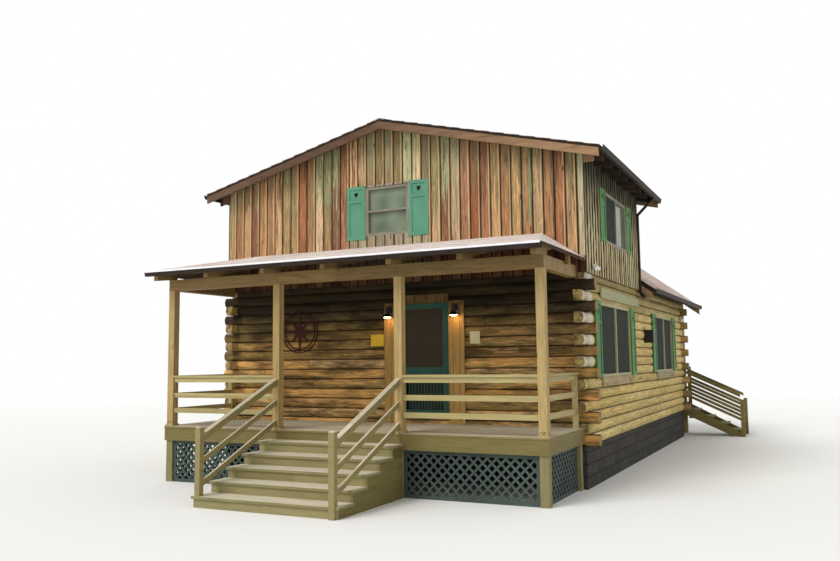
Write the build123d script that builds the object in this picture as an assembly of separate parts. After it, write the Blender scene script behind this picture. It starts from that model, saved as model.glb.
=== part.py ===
from build123d import *
import os
from math import cos, pi, sin

# Millimetres, +Z up, front towards -Y. Ground is z = 0, the log front's face y = 0.

# Cutting solids run this far past what they cut, and this far out of the house
CUT = 10.0
FAR = 9000.0

# Logs and house shell
LOG_COURSE = 184.5
LOG_THICKNESS = 165.0
LOG_BULGE = 42.0
LOG_BASE = 698.0
COURSES = 16
LOG_PASS = 160.0
HOUSE_HALF = 3731.5
HOUSE_DEPTH = 10095.0
WALL_TOP = LOG_BASE + COURSES * LOG_COURSE
FLOOR_RISE = 452.0
FLOOR_TOP = LOG_BASE + FLOOR_RISE
FLOOR_THICKNESS = 200.0
UPPER_FLOOR_THICKNESS = 150.0
FOUNDATION_INSET = 45.0
FOUNDATION_WIDTH = 200.0
FOUNDATION_LEDGE = 15.0
CORNER_GAP = 5.0

# Upper storey
SIDING_OUT = 36.0
SIDING_SIDE = 25.0
SIDING_SKIRT = 72.0
SKIRT_CLEAR = 4.0
UPPER_WALL = 140.0
UPPER_WALL_SIDE = 125.0
UPPER_DEPTH = 4330.0
UPPER_WALL_HEIGHT = 2024.0
siding_half = HOUSE_HALF + SIDING_SIDE
upper_in = siding_half - UPPER_WALL_SIDE
skirt_z = WALL_TOP - SIDING_SKIRT

# Low roof, its trim and its gutters
UPPER_PITCH = 0.25
UPPER_PANEL = 52.0
UPPER_OVERHANG = 358.5
UPPER_APEX = WALL_TOP + UPPER_WALL_HEIGHT + UPPER_PITCH * siding_half + UPPER_PANEL
UPPER_EAVE_HALF = siding_half + UPPER_OVERHANG
FRONT_OVERHANG = 297.0
BACK_OVERHANG = 640.0
upper_rake_front = -SIDING_OUT - FRONT_OVERHANG
upper_rake_rear = UPPER_DEPTH + BACK_OVERHANG
RIDGE_CAP = 12.0
RIDGE_CAP_HALF = 150.0
RAKE_BOARD_DEPTH = 140.0
RAKE_BOARD_THICK = 34.0
CORNER_BLOCK = 190.0
CORNER_BLOCK_DEPTH = 215.0
CORNER_BLOCK_THICK = 90.0
TAILS = 8
TAIL_START = 60.0
TAIL_WIDTH = 42.0
TAIL_DEPTH = 140.0
TAIL_BACK = 20.0
GUTTER_DROP = 8.0
GUTTER_DEPTH = 90.0
GUTTER_FOOT = 60.0
GUTTER_REACH = 85.0
GUTTER_METAL = 5.0
SPOUT_DEPTH = 60.0
SPOUT_WIDTH = 80.0
SPOUT_FROM_CORNER = 60.0
ELBOW_DROP = 350.0
KICK_BELOW = 40.0
KICK_OUT = 100.0

# Rear roof over the log storey and the back porch
REAR_OVERHANG = 326.0
REAR_EAVE_DROP = 33.0
REAR_PANEL = 110.0
REAR_RAKE_OVER = 39.0
REAR_EAVE_HALF = HOUSE_HALF + REAR_OVERHANG
REAR_EAVE_Z = WALL_TOP - REAR_EAVE_DROP
REAR_PITCH = (UPPER_APEX - UPPER_PANEL - REAR_EAVE_Z) / REAR_EAVE_HALF
STUB_PLANK = 130.0
STUB_PLANK_THICK = 34.0
STUB_STEP = 8.0
STUB_END = 15.0

# Porch deck and frame
DECK_DROP = 150.0
DECK_SIDE_INSET = 74.0
DECK_DEPTH = 1931.0
DECK_HALF = HOUSE_HALF - DECK_SIDE_INSET
DECK_TOP = FLOOR_TOP - DECK_DROP
DECK_BOARD = 38.0
RIM_HEIGHT = 261.0
RIM_THICK = 38.0
BOARD_LIP = 8.0
JOIST_BAYS = 6
JOIST_RISE = 40.0
POST = 135.0
POST_INSET = 33.5
POST_BAYS = 3
POST_STEP = (2 * (DECK_HALF - POST_INSET) - POST) / POST_BAYS
POST_TRIM = 18.0
POST_TRIM_HEIGHT = 34.0
BACK_POST_GAP = 40.0
post_x = [-DECK_HALF + POST_INSET + index * POST_STEP for index in range(POST_BAYS + 1)]
beam_front = -DECK_DEPTH + POST_INSET
under_rim = DECK_TOP - RIM_HEIGHT

# Porch roof
BEAM_DROP = 174.0
BEAM_DEPTH = 202.0
BEAM_BOTTOM = WALL_TOP - BEAM_DROP
BEAM_TOP = BEAM_BOTTOM + BEAM_DEPTH
PORCH_EAVE_RISE = 132.0
PORCH_RISE = 477.0
PORCH_EAVE_OUT = 400.0
PORCH_SIDE_OUT = 90.5
PORCH_HIP_RUN = 723.0
PORCH_PANEL = 60.0
PORCH_EAVE_HALF = DECK_HALF + PORCH_SIDE_OUT
PORCH_HIP_HALF = PORCH_EAVE_HALF - PORCH_HIP_RUN
PORCH_EAVE_Y = -DECK_DEPTH - PORCH_EAVE_OUT
PORCH_EAVE_Z = BEAM_TOP + PORCH_EAVE_RISE
PORCH_WALL_Z = PORCH_EAVE_Z + PORCH_RISE
RAFTER_BAYS = 6
RAFTER_STEP = 2 * DECK_HALF / RAFTER_BAYS
RAFTER_WIDTH = 90.0
RAFTER_DEPTH = 128.0
RAFTER_END = 60.0
SIDE_TAIL_SHARE = 0.4

# Lattice skirts
STRIP = 34.0
STRIP_PITCH = 148.0
LATTICE_FRAME = 60.0
LATTICE_THICK = 24.0
LATTICE_BACK = 60.0
LATTICE_SIDE_BACK = 50.0

# Front steps
STEPS = 6
RISER = DECK_TOP / STEPS
TREAD_RUN = 393.0
FIRST_NOSING = 337.0
TREAD_THICK = 38.0
STEP_OVER = 34.0
STEP_HALF = post_x[2] + POST + STEP_OVER
STRINGER_THICK = 40.0
STRINGER_INSET = 30.0
RISER_BOARD = 20.0
NOSE = 25.0

# Rails
RAIL_RISE = 910.0
RAIL_TOP = DECK_TOP + RAIL_RISE
MID_RAIL_RISES = (551.0, 279.0)
RAIL_THICK = 38.0
RAIL_HEIGHT = 86.0
RAIL_BACK = 20.0
CAP_WIDTH = 130.0
END_POST = 90.0
END_POST_DEPTH = 40.0
END_POST_GAP = 45.0
NEWEL = 92.0
NEWEL_RISE = 1018.0
NEWEL_CHAMFER = 14.0
LEFT_NEWEL_BACK = 12.0
RIGHT_NEWEL_OUT = 22.0
STAIR_CAP = 90.0
STAIR_RAIL_RISES = (775.0, 449.0, 117.0)

# Doorway
OVER_DOOR = 445.0
DOOR_LEFT = 191.0
DOOR_WIDTH = 1056.0
DOOR_RIGHT = DOOR_LEFT + DOOR_WIDTH
DOOR_HEAD = WALL_TOP - OVER_DOOR
JAMB = 30.0
LEAF_GAP = 6.0
SILL_HEIGHT = 29.0
CASING_WIDTH = 280.0
CASING_THICK = 30.0
CASING_CLEAR = 4.0
CASING_LAP = 20.0
HEADER_RISE = 130.0
HEADER_LAP = 2.0
SCREEN_THICK = 32.0
SCREEN_BACK = 2.0
STILE = 118.0
TOP_RAIL = 95.0
MID_RAIL = 134.0
BOTTOM_RAIL = 60.0
SCREEN_MID_RISE = 730.0
SCREEN_BARS = 11
BAR_WIDTH = 18.0
BAR_THICK = 18.0
MESH_THICK = 4.0
MESH_INSET = 14.0
ENTRY_THICK = 44.0
ENTRY_BACK = 2.0
PANEL_SINK = 9.0
PANEL_SIDE = 130.0
PANEL_BOTTOM = 200.0
PANEL_TOP = 150.0
PANEL_RAIL = 160.0
PANEL_SPLIT = 850.0
KNOB_RISE = 80.0
KNOB_BACKSET = 62.0

# Hinges: twelve-sided barrels
BARREL_SIDES = 12
HINGE_R = 5.0
HINGE_STAND = 3.0
PIN_R = 2.2
PIN_GAP = 0.3
KNUCKLE = 32.0
KNUCKLE_GAP = 0.4
HINGE_SEAT = 2.0
HINGE_LEAF = 18.0
HINGE_CLEAR = 1.0
HINGE_FROM_BOTTOM = 180.0
HINGE_FROM_TOP = 270.0

# Windows: width and height of each, and what places it
SASH = 55.0
GLASS_THICK = 8.0
FRONT_WIN_HALF = 459.0
FRONT_WIN_SILL = 213.0
FRONT_WIN_HEIGHT = 945.0
SIDE_WIN_WIDTH = 1710.0
SIDE_WIN_PLACE = 0.532
SIDE_WIN_SILL = 600.0
SIDE_WIN_HEIGHT = 960.0
LOWER_SILL = 650.0
LOWER_HEAD_DROP = 68.0
LOWER_1_WIDTH = 2430.0
LOWER_1_PLACE = 0.21545
LOWER_2_WIDTH = 2250.0
LOWER_2_PLACE = 0.72065
FRAME_PROUD = 14.0
LOG_FRAME_PROUD = 4.0
UPPER_FRAME_DEPTH = 110.0
LOG_FRAME_DEPTH = 120.0
FRONT_FRAME_DEPTH = 110.0
FRONT_GLASS_BACK = 46.0
MEETING_RAIL = 40.0
UPPER_GLASS_BACK = 40.0
LOWER_GLASS_BACK = 60.0

# Shutters: a square sunk panel with a leaf cut out of it over a tall one
SHUTTER = 400.0
SHUTTER_THICK = 30.0
SHUTTER_GAP = 14.0
SHUTTER_BORDER = 62.0
SHUTTER_FOOT = 75.0
SHUTTER_RAIL = 60.0
SHUTTER_SPLIT = 0.72
SHUTTER_SINK = 12.0
FRONT_SHUTTER_HEIGHT = 1040.0
FRONT_SHUTTER_DROP = 60.0
SIDE_SHUTTER_OVER = 10.0
LEAF = [(0, -55), (34, -12), (45, 18), (38, 44), (20, 52), (0, 34)]

# Planks and the box on the side wall
APRON_HEIGHT = 150.0
WINDOW_PLANK_THICK = 32.0
HEADER_PLANK_OVER = 69.0
HEADER_PLANK_HEIGHT = 177.0
HEADER_PLANK_START = 40.0
HEADER_PLANK_PAST = 850.0
BOX_WIDTH = 280.0
BOX_HEIGHT = 279.0
BOX_PLACE = 0.614
BOX_RISE = 667.0
WALL_BOX_DEPTH = 190.0

# Lamps and flood lights
LAMP_OUT = 130.0
LAMP_DROP = 265.0
LAMP_PLATE = (70.0, 12.0, 130.0)
LAMP_PLATE_DROP = 185.0
LAMP_ARM = 24.0
LAMP_ARM_DROP = 130.0
SHADE = [(0, 0), (88, 0), (88, 14), (40, 60), (36, 190), (0, 190)]
FLOOD_BASE = 90.0
FLOOD_BASE_THICK = 30.0
FLOOD_R = 38.0
FLOOD_LONG = 90.0
FLOOD_TILT = 35.0
FLOOD_FRONT_Y = 470.0
FLOOD_FRONT_RISE = 60.0
FLOOD_BACK_INSET = 290.0
FLOOD_BACK_COURSE = 13.5

# Ornaments on the front wall
WHEEL_X = -2003.0
WHEEL_RISE = 1574.0
WHEEL_R = 420.0
WHEEL_RIM = 18.0
WHEEL_RING_GAP = 66.0
WHEEL_THICK = 14.0
STAR_INSET = 9.0
STAR_WAIST = 95.0
STAR_SHORT = 0.72
STAR_POINTS = 8
PLAQUE_X = -250.0
PLAQUE_WIDTH = 280.0
PLAQUE_RISE = 1260.0
PLAQUE_HEIGHT = 217.0
PLAQUE_THICK = 10.0
SHIELD_X = 1730.0
SHIELD_RISE = 1269.0
SHIELD_HALF = 95.0
SHIELD_POINT = 60.0
SHIELD_HEIGHT = 221.0
SHIELD_THICK = 12.0

# Back porch and stair
BACK_STEP_DOWN = 120.0
BACK_FLOOR = DECK_TOP - BACK_STEP_DOWN
BACK_DEPTH = 1235.0
BACK_BEAM_DEPTH = 160.0
BACK_LEDGER_POST = 60.0
BACK_RAIL_RISES = (900.0, 560.0, 280.0)
BACK_STEPS = 5
BACK_RISER = BACK_FLOOR / BACK_STEPS
BACK_RUN = 378.0
BACK_STAIR_WIDTH = 900.0
BACK_STAIR_INSET = 60.0
BACK_TREAD_GAP = 6.0
BACK_STRINGER_DROP = 20.0
BACK_STRINGER_DEPTH = 280.0
BACK_STRINGER_FOOT = 240.0
BACK_TOE = 60.0
BACK_NEWEL_HEIGHT = 990.0
BACK_NEWEL_OVER = 1000.0
BACK_NEWEL_FOOT = 400.0
BACK_STAIR_RAILS = 4
BACK_STAIR_RAIL_STEP = 210.0
BACK_STAIR_RAIL_RISE = 900.0
BACK_STAIR_RAIL_HEIGHT = 80.0
BACK_DOOR_HALF = 457.0
BACK_DOOR_DROP = 25.0
BACK_DOOR_INSET = 60.0
BACK_DOOR_THICK = 45.0
BACK_CASING = 110.0
BACK_CASING_THICK = 28.0

os.makedirs("parts", exist_ok=True)


def slab(x0, x1, y0, y1, z0, z1):
    """A plain board or slab between two corners."""
    return Pos((x0 + x1) / 2, (y0 + y1) / 2, (z0 + z1) / 2) * Box(x1 - x0, y1 - y0, z1 - z0)


def prism(points, plane, length):
    """An outline in a plane, pushed along that plane's normal."""
    return extrude(plane * make_face(Polyline(*points, close=True)), length)


def along_x(yz, x0, x1):
    """An outline in Y and Z, run from x0 to x1."""
    return prism(yz, Plane(origin=(x0, 0, 0), x_dir=(0, 1, 0), z_dir=(1, 0, 0)), x1 - x0)


def along_y(xz, y0, y1):
    """An outline in X and Z, run from y0 to y1."""
    return prism(xz, Plane(origin=(0, y1, 0), x_dir=(1, 0, 0), z_dir=(0, -1, 0)), y1 - y0)


def save(name, solids):
    """One node: its solids in one STEP file."""
    if isinstance(solids, (list, tuple)):
        parts = [piece for solid in solids for piece in solid.solids()]
    else:
        parts = list(solids.solids())
    export_step(parts[0] if len(parts) == 1 else Compound(children=parts), f"parts/{name}.step")


def mirror_x(shape):
    """The same piece on the other side of the ridge."""
    return mirror(shape, Plane.YZ)


# Roof surfaces


def rear_top(x):
    """Top of the rear roof at a distance x from the ridge."""
    return REAR_EAVE_Z + REAR_PITCH * (REAR_EAVE_HALF - abs(x))


def rear_under(x):
    """Underside of the rear roof at a distance x from the ridge."""
    return rear_top(x) - REAR_PANEL


def upper_under(x):
    """Underside of the low roof at a distance x from the ridge."""
    return UPPER_APEX - UPPER_PANEL - UPPER_PITCH * abs(x)


def porch_under(y):
    """Underside of the porch roof's long slope."""
    return (PORCH_EAVE_Z - PORCH_PANEL
            + (PORCH_WALL_Z - PORCH_EAVE_Z) * (y - PORCH_EAVE_Y) / (-SIDING_OUT - PORCH_EAVE_Y))


# Window openings: first edge, last edge, sill and head


def opening(middle, width, sill, height):
    """The four edges of a window from its middle, width, sill and height."""
    return (middle - width / 2, middle + width / 2, sill, sill + height)


lower_sill = FLOOR_TOP + LOWER_SILL
lower_height = DOOR_HEAD - LOWER_HEAD_DROP - lower_sill
front_win = opening(0, 2 * FRONT_WIN_HALF, PORCH_WALL_Z + FRONT_WIN_SILL, FRONT_WIN_HEIGHT)
upper_win = opening(SIDE_WIN_PLACE * UPPER_DEPTH, SIDE_WIN_WIDTH, WALL_TOP + SIDE_WIN_SILL, SIDE_WIN_HEIGHT)
lower_win_1 = opening(LOWER_1_PLACE * HOUSE_DEPTH, LOWER_1_WIDTH, lower_sill, lower_height)
lower_win_2 = opening(LOWER_2_PLACE * HOUSE_DEPTH, LOWER_2_WIDTH, lower_sill, lower_height)

# Log courses: flat bedding faces, flat inside and a rounded weather face


def log_section():
    """Section of one log: u runs outward from the wall's inner face, v is height."""
    shoulder = LOG_THICKNESS - LOG_BULGE
    flat = Polyline((shoulder, 0), (0, 0), (0, LOG_COURSE), (shoulder, LOG_COURSE))
    crown = ThreePointArc((shoulder, LOG_COURSE), (LOG_THICKNESS, LOG_COURSE / 2), (shoulder, 0))
    return make_face(flat + crown)


def log_x(course, x0, x1, rear):
    """A log of the front or rear wall."""
    z = LOG_BASE + course * LOG_COURSE
    plane = Plane(origin=(x1, LOG_THICKNESS, z), x_dir=(0, -1, 0), z_dir=(-1, 0, 0))
    if rear:
        plane = Plane(origin=(x0, HOUSE_DEPTH - LOG_THICKNESS, z), x_dir=(0, 1, 0), z_dir=(1, 0, 0))
    return extrude(plane * log_section(), x1 - x0)


def log_y(course, y0, y1):
    """A log of the right-hand wall."""
    z = LOG_BASE + course * LOG_COURSE
    plane = Plane(origin=(HOUSE_HALF - LOG_THICKNESS, y1, z), x_dir=(1, 0, 0), z_dir=(0, -1, 0))
    return extrude(plane * log_section(), y1 - y0)


def wall_across(x0, x1, low=0, rear=False):
    """Courses between x0 and x1; every second one passes the corner."""
    logs = []
    for course in range(low, COURSES):
        reach = HOUSE_HALF + LOG_PASS if course % 2 == 0 else HOUSE_HALF - LOG_THICKNESS
        left = -reach if x0 <= -HOUSE_HALF else x0
        right = reach if x1 >= HOUSE_HALF else x1
        logs.append(log_x(course, left, right, rear))
    return logs[0].fuse(*logs[1:])


def wall_along():
    """The right-hand wall: its odd courses pass the corners above the decks."""
    deck_courses = int((DECK_TOP - LOG_BASE) // LOG_COURSE) + 2
    logs = []
    for course in range(COURSES):
        y0, y1 = -LOG_PASS, HOUSE_DEPTH + LOG_PASS
        if course % 2 == 0:
            y0, y1 = LOG_THICKNESS, HOUSE_DEPTH - LOG_THICKNESS
        elif course < deck_courses:
            y0, y1 = 0.0, HOUSE_DEPTH
        elif course == COURSES - 1:
            y0 = 0.0
        logs.append(log_y(course, y0, y1))
    wall = logs[0].fuse(*logs[1:])
    inner = HOUSE_HALF - LOG_THICKNESS
    for y0, y1, z0, z1 in (lower_win_1, lower_win_2):
        wall -= slab(inner - CUT, HOUSE_HALF + CUT, y0, y1, z0, z1)
    plate_out = HOUSE_HALF - LOG_BULGE
    plate = along_y([(inner, WALL_TOP), (plate_out, WALL_TOP), (plate_out, rear_under(plate_out)),
                     (inner, rear_under(inner))], UPPER_DEPTH, HOUSE_DEPTH - LOG_THICKNESS)
    return wall.fuse(plate)


foundation_out = HOUSE_HALF - FOUNDATION_INSET
foundation_in = foundation_out - FOUNDATION_WIDTH
foundation = slab(-foundation_out, foundation_out, -FOUNDATION_LEDGE,
                  HOUSE_DEPTH - FOUNDATION_INSET, 0, LOG_BASE)
foundation -= slab(-foundation_in, foundation_in, FOUNDATION_WIDTH - FOUNDATION_LEDGE,
                   HOUSE_DEPTH - FOUNDATION_INSET - FOUNDATION_WIDTH, -CUT, LOG_BASE + CUT)
save("foundation", foundation)

room_half = HOUSE_HALF - LOG_THICKNESS
room_back = HOUSE_DEPTH - LOG_THICKNESS
save("ground_floor", slab(-room_half, room_half, LOG_THICKNESS, room_back,
                          FLOOR_TOP - FLOOR_THICKNESS, FLOOR_TOP))
save("upper_floor", slab(-room_half, room_half, LOG_THICKNESS, room_back,
                         WALL_TOP - UPPER_FLOOR_THICKNESS, WALL_TOP))

# Front log wall, split beside and over the doorway
head_course = int((DOOR_HEAD - LOG_BASE) // LOG_COURSE) + 1
head_z = LOG_BASE + head_course * LOG_COURSE
over_door = wall_across(DOOR_LEFT, DOOR_RIGHT, head_course)
over_door = over_door.fuse(slab(DOOR_LEFT, DOOR_RIGHT, LOG_BULGE, LOG_THICKNESS, DOOR_HEAD, head_z))
save("front_wall_left", wall_across(-HOUSE_HALF, DOOR_LEFT))
save("front_wall_right", wall_across(DOOR_RIGHT, HOUSE_HALF))
save("front_wall_over_door", over_door)
save("front_wall_sill", slab(DOOR_LEFT, DOOR_RIGHT, 0, LOG_THICKNESS, LOG_BASE, FLOOR_TOP))

right_wall = wall_along()
save("right_wall", right_wall)
save("left_wall", mirror_x(right_wall))
rear_wall = wall_across(-HOUSE_HALF, HOUSE_HALF, rear=True)
back_head = DOOR_HEAD - BACK_DOOR_DROP
rear_wall -= slab(-BACK_DOOR_HALF, BACK_DOOR_HALF, room_back - CUT, HOUSE_DEPTH + CUT, FLOOR_TOP, back_head)
save("rear_wall", rear_wall)

# Upper storey walls, clad outside over the top log
wx0, wx1, wz0, wz1 = front_win
gable_wall = along_y([(-siding_half, WALL_TOP), (siding_half, WALL_TOP),
                      (siding_half, upper_under(siding_half)), (0, upper_under(0)),
                      (-siding_half, upper_under(siding_half))],
                     -SIDING_OUT, UPPER_WALL - SIDING_OUT)
gable_wall += slab(-siding_half, siding_half, -SIDING_OUT, -SKIRT_CLEAR, skirt_z, WALL_TOP)
gable_wall -= slab(wx0, wx1, -SIDING_OUT - CUT, UPPER_WALL, wz0, wz1)
save("front_gable_wall", gable_wall)

side_start = UPPER_WALL - SIDING_OUT
sy0, sy1, sz0, sz1 = upper_win
upper_side = along_y([(upper_in, WALL_TOP), (siding_half, WALL_TOP),
                      (siding_half, upper_under(siding_half)), (upper_in, upper_under(upper_in))],
                     side_start, UPPER_DEPTH)
upper_side += slab(HOUSE_HALF + SKIRT_CLEAR, siding_half, side_start, UPPER_DEPTH, skirt_z, WALL_TOP)
upper_side -= slab(upper_in - CUT, siding_half + CUT, sy0, sy1, sz0, sz1)
save("right_upper_wall", upper_side)
save("left_upper_wall", mirror_x(upper_side))

# The walls that close the low roof's back above the steep roof
meet_x = UPPER_PANEL / (REAR_PITCH - UPPER_PITCH) / 2
cheek = along_y([(meet_x, rear_top(meet_x)), (upper_in, rear_top(upper_in)),
                 (upper_in, upper_under(upper_in)), (meet_x, upper_under(meet_x))],
                UPPER_DEPTH - UPPER_WALL, UPPER_DEPTH)
save("dormer_cheeks", [cheek, mirror_x(cheek)])

# Rear gable over the back log wall
gable_out = HOUSE_HALF - LOG_BULGE
save("rear_gable", along_y([(-gable_out, WALL_TOP), (gable_out, WALL_TOP), (gable_out, rear_under(gable_out)),
                            (0, rear_under(0)), (-gable_out, rear_under(gable_out))],
                           room_back, HOUSE_DEPTH))


def folded(half, apex, pitch, depth, y0, y1):
    """Both slopes of a roof, a rake or a ridge cap as one folded sheet of even vertical depth."""
    edge = apex - pitch * half
    return along_y([(-half, edge), (0, apex), (half, edge), (half, edge - depth),
                    (0, apex - depth), (-half, edge - depth)], y0, y1)


upper_roof = folded(UPPER_EAVE_HALF, UPPER_APEX, UPPER_PITCH, UPPER_PANEL, upper_rake_front, upper_rake_rear)
upper_roof += folded(RIDGE_CAP_HALF, UPPER_APEX + RIDGE_CAP, UPPER_PITCH, RIDGE_CAP,
                     upper_rake_front, upper_rake_rear)
save("upper_roof", upper_roof)
rear_apex = rear_top(0)
rear_rake = HOUSE_DEPTH + BACK_DEPTH + REAR_RAKE_OVER
rear_start = UPPER_DEPTH - UPPER_WALL
rear_roof = folded(REAR_EAVE_HALF, rear_apex, REAR_PITCH, REAR_PANEL, rear_start, rear_rake)
beside = slab(upper_in, FAR, rear_start - CUT, UPPER_DEPTH, 0, FAR)
rear_roof -= beside
rear_roof -= mirror_x(beside)
rear_roof -= along_y([(-FAR, upper_under(FAR)), (0, upper_under(0)), (FAR, upper_under(FAR)), (FAR, FAR),
                      (-FAR, FAR)], rear_start - CUT, upper_rake_rear + CUT)
rear_roof += folded(RIDGE_CAP_HALF, rear_apex + RIDGE_CAP, REAR_PITCH, RIDGE_CAP, upper_rake_rear, rear_rake)
save("rear_roof", rear_roof)

# Rake boards, the blocks behind them at the front corners, and the two short planks at the rear eaves
front_rake = folded(UPPER_EAVE_HALF, UPPER_APEX - UPPER_PANEL, UPPER_PITCH, RAKE_BOARD_DEPTH,
                    upper_rake_front, upper_rake_front + RAKE_BOARD_THICK)
back_rake = folded(REAR_EAVE_HALF, rear_apex - REAR_PANEL, REAR_PITCH, RAKE_BOARD_DEPTH,
                   rear_rake - RAKE_BOARD_THICK, rear_rake)
upper_back_rake = folded(UPPER_EAVE_HALF, UPPER_APEX - UPPER_PANEL, UPPER_PITCH, RAKE_BOARD_DEPTH,
                         upper_rake_rear - RAKE_BOARD_THICK, upper_rake_rear)
upper_back_rake &= along_y([(-FAR, rear_top(FAR)), (0, rear_apex), (FAR, rear_top(FAR)), (FAR, FAR),
                            (-FAR, FAR)], UPPER_DEPTH, upper_rake_rear + CUT)
block_out = siding_half + CORNER_BLOCK
block = along_y([(siding_half, upper_under(siding_half)), (block_out, upper_under(block_out)),
                 (block_out, upper_under(block_out) - CORNER_BLOCK_DEPTH + UPPER_PITCH * CORNER_BLOCK),
                 (siding_half, upper_under(siding_half) - CORNER_BLOCK_DEPTH)],
                -SIDING_OUT, -SIDING_OUT + CORNER_BLOCK_THICK)
stub_in = siding_half + STUB_STEP
stub_out = REAR_EAVE_HALF - STUB_END
stub_low = stub_in + (stub_out - stub_in) * SHUTTER_SPLIT
upper_plank = along_y([(stub_in, rear_under(stub_in)), (stub_out, rear_under(stub_out)),
                       (stub_out, rear_under(stub_out) - STUB_PLANK),
                       (stub_in, rear_under(stub_in) - STUB_PLANK)],
                      UPPER_DEPTH, UPPER_DEPTH + STUB_PLANK_THICK)
lower_plank = along_y([(stub_in, rear_under(stub_in) - STUB_PLANK),
                       (stub_low, rear_under(stub_low) - STUB_PLANK),
                       (stub_low, rear_under(stub_low) - 2 * STUB_PLANK),
                       (stub_in, rear_under(stub_in) - 2 * STUB_PLANK)],
                      UPPER_DEPTH + STUB_STEP, UPPER_DEPTH + STUB_STEP + STUB_PLANK_THICK)
stub = upper_plank + lower_plank
save("rake_boards", [front_rake, upper_back_rake, back_rake, block, mirror_x(block), stub, mirror_x(stub)])

# Rafter tails under the low roof's eaves, against the side walls
tails = []
tail_out = UPPER_EAVE_HALF - TAIL_BACK
for index in range(TAILS):
    y = TAIL_START + index * (UPPER_DEPTH - TAIL_START) / (TAILS - 1)
    tail = along_y([(siding_half, upper_under(siding_half)), (tail_out, upper_under(tail_out)),
                    (tail_out, upper_under(tail_out) - TAIL_DEPTH),
                    (siding_half, upper_under(siding_half) - TAIL_DEPTH)], y, y + TAIL_WIDTH)
    tails += [tail, mirror_x(tail)]
save("eave_rafter_tails", tails)

# Gutters of all three roofs, and the low roof's downspouts


def gutter_section():
    """Open channel with a slanting front: its back top corner at the origin, drawn outward."""
    lip = GUTTER_REACH - GUTTER_METAL
    floor = GUTTER_METAL - GUTTER_DEPTH
    return [(0, 0), (0, -GUTTER_DEPTH), (GUTTER_FOOT, -GUTTER_DEPTH), (GUTTER_REACH, 0), (lip, 0),
            (GUTTER_FOOT - GUTTER_METAL, floor), (GUTTER_METAL, floor), (GUTTER_METAL, 0)]


def side_gutter(half, top, y0, y1):
    """A gutter that hangs on a side eave."""
    return along_y([(half + u, top + v) for u, v in gutter_section()], y0, y1)


gutter_z = UPPER_APEX - UPPER_PITCH * UPPER_EAVE_HALF - GUTTER_DROP
rear_gutter_z = REAR_EAVE_Z - GUTTER_DROP
upper_gutter = side_gutter(UPPER_EAVE_HALF, gutter_z, upper_rake_front, upper_rake_rear)
rear_gutter = side_gutter(REAR_EAVE_HALF, rear_gutter_z, UPPER_DEPTH, rear_rake)
porch_gutter = along_x([(PORCH_EAVE_Y - u, PORCH_EAVE_Z - GUTTER_DROP + v) for u, v in gutter_section()],
                       -PORCH_EAVE_HALF, PORCH_EAVE_HALF)
save("eave_gutters", [upper_gutter, mirror_x(upper_gutter), rear_gutter, mirror_x(rear_gutter), porch_gutter])
spout_y = UPPER_DEPTH - SPOUT_FROM_CORNER
spout_out = siding_half + SPOUT_DEPTH
spout_top = gutter_z - GUTTER_DEPTH
elbow_z = spout_top - ELBOW_DROP
kick_z = skirt_z - KICK_BELOW
kick_foot = kick_z - KICK_OUT
spout = along_y([(siding_half, elbow_z), (UPPER_EAVE_HALF, spout_top),
                 (UPPER_EAVE_HALF + SPOUT_DEPTH, spout_top), (spout_out, elbow_z),
                 (spout_out, kick_z), (spout_out + KICK_OUT, kick_foot),
                 (siding_half + KICK_OUT, kick_foot - SPOUT_DEPTH / 2), (siding_half, kick_z)],
                spout_y - SPOUT_WIDTH / 2, spout_y + SPOUT_WIDTH / 2)
save("downspouts", [spout, mirror_x(spout)])

# Porch roof: one long low slope, hipped steeply at both ends against the gable wall
wall_y = -SIDING_OUT


def porch_mass(drop):
    """The hipped roof as a mass under its slopes, lowered by drop."""
    slope = along_x([(PORCH_EAVE_Y, BEAM_BOTTOM), (PORCH_EAVE_Y, PORCH_EAVE_Z - drop),
                     (wall_y, PORCH_WALL_Z - drop), (wall_y, BEAM_BOTTOM)], -PORCH_EAVE_HALF, PORCH_EAVE_HALF)
    ends = along_y([(-PORCH_EAVE_HALF, BEAM_BOTTOM), (PORCH_EAVE_HALF, BEAM_BOTTOM),
                    (PORCH_EAVE_HALF, PORCH_EAVE_Z - drop), (PORCH_HIP_HALF, PORCH_WALL_Z - drop),
                    (-PORCH_HIP_HALF, PORCH_WALL_Z - drop), (-PORCH_EAVE_HALF, PORCH_EAVE_Z - drop)],
                   PORCH_EAVE_Y, wall_y)
    return slope & ends


under_porch = porch_mass(PORCH_PANEL)
porch_roof = porch_mass(0) - under_porch
porch_roof -= slab(-FAR, FAR, PORCH_EAVE_Y - CUT, wall_y + CUT, BEAM_BOTTOM - CUT, PORCH_EAVE_Z - PORCH_PANEL)
save("porch_roof", porch_roof)

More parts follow.
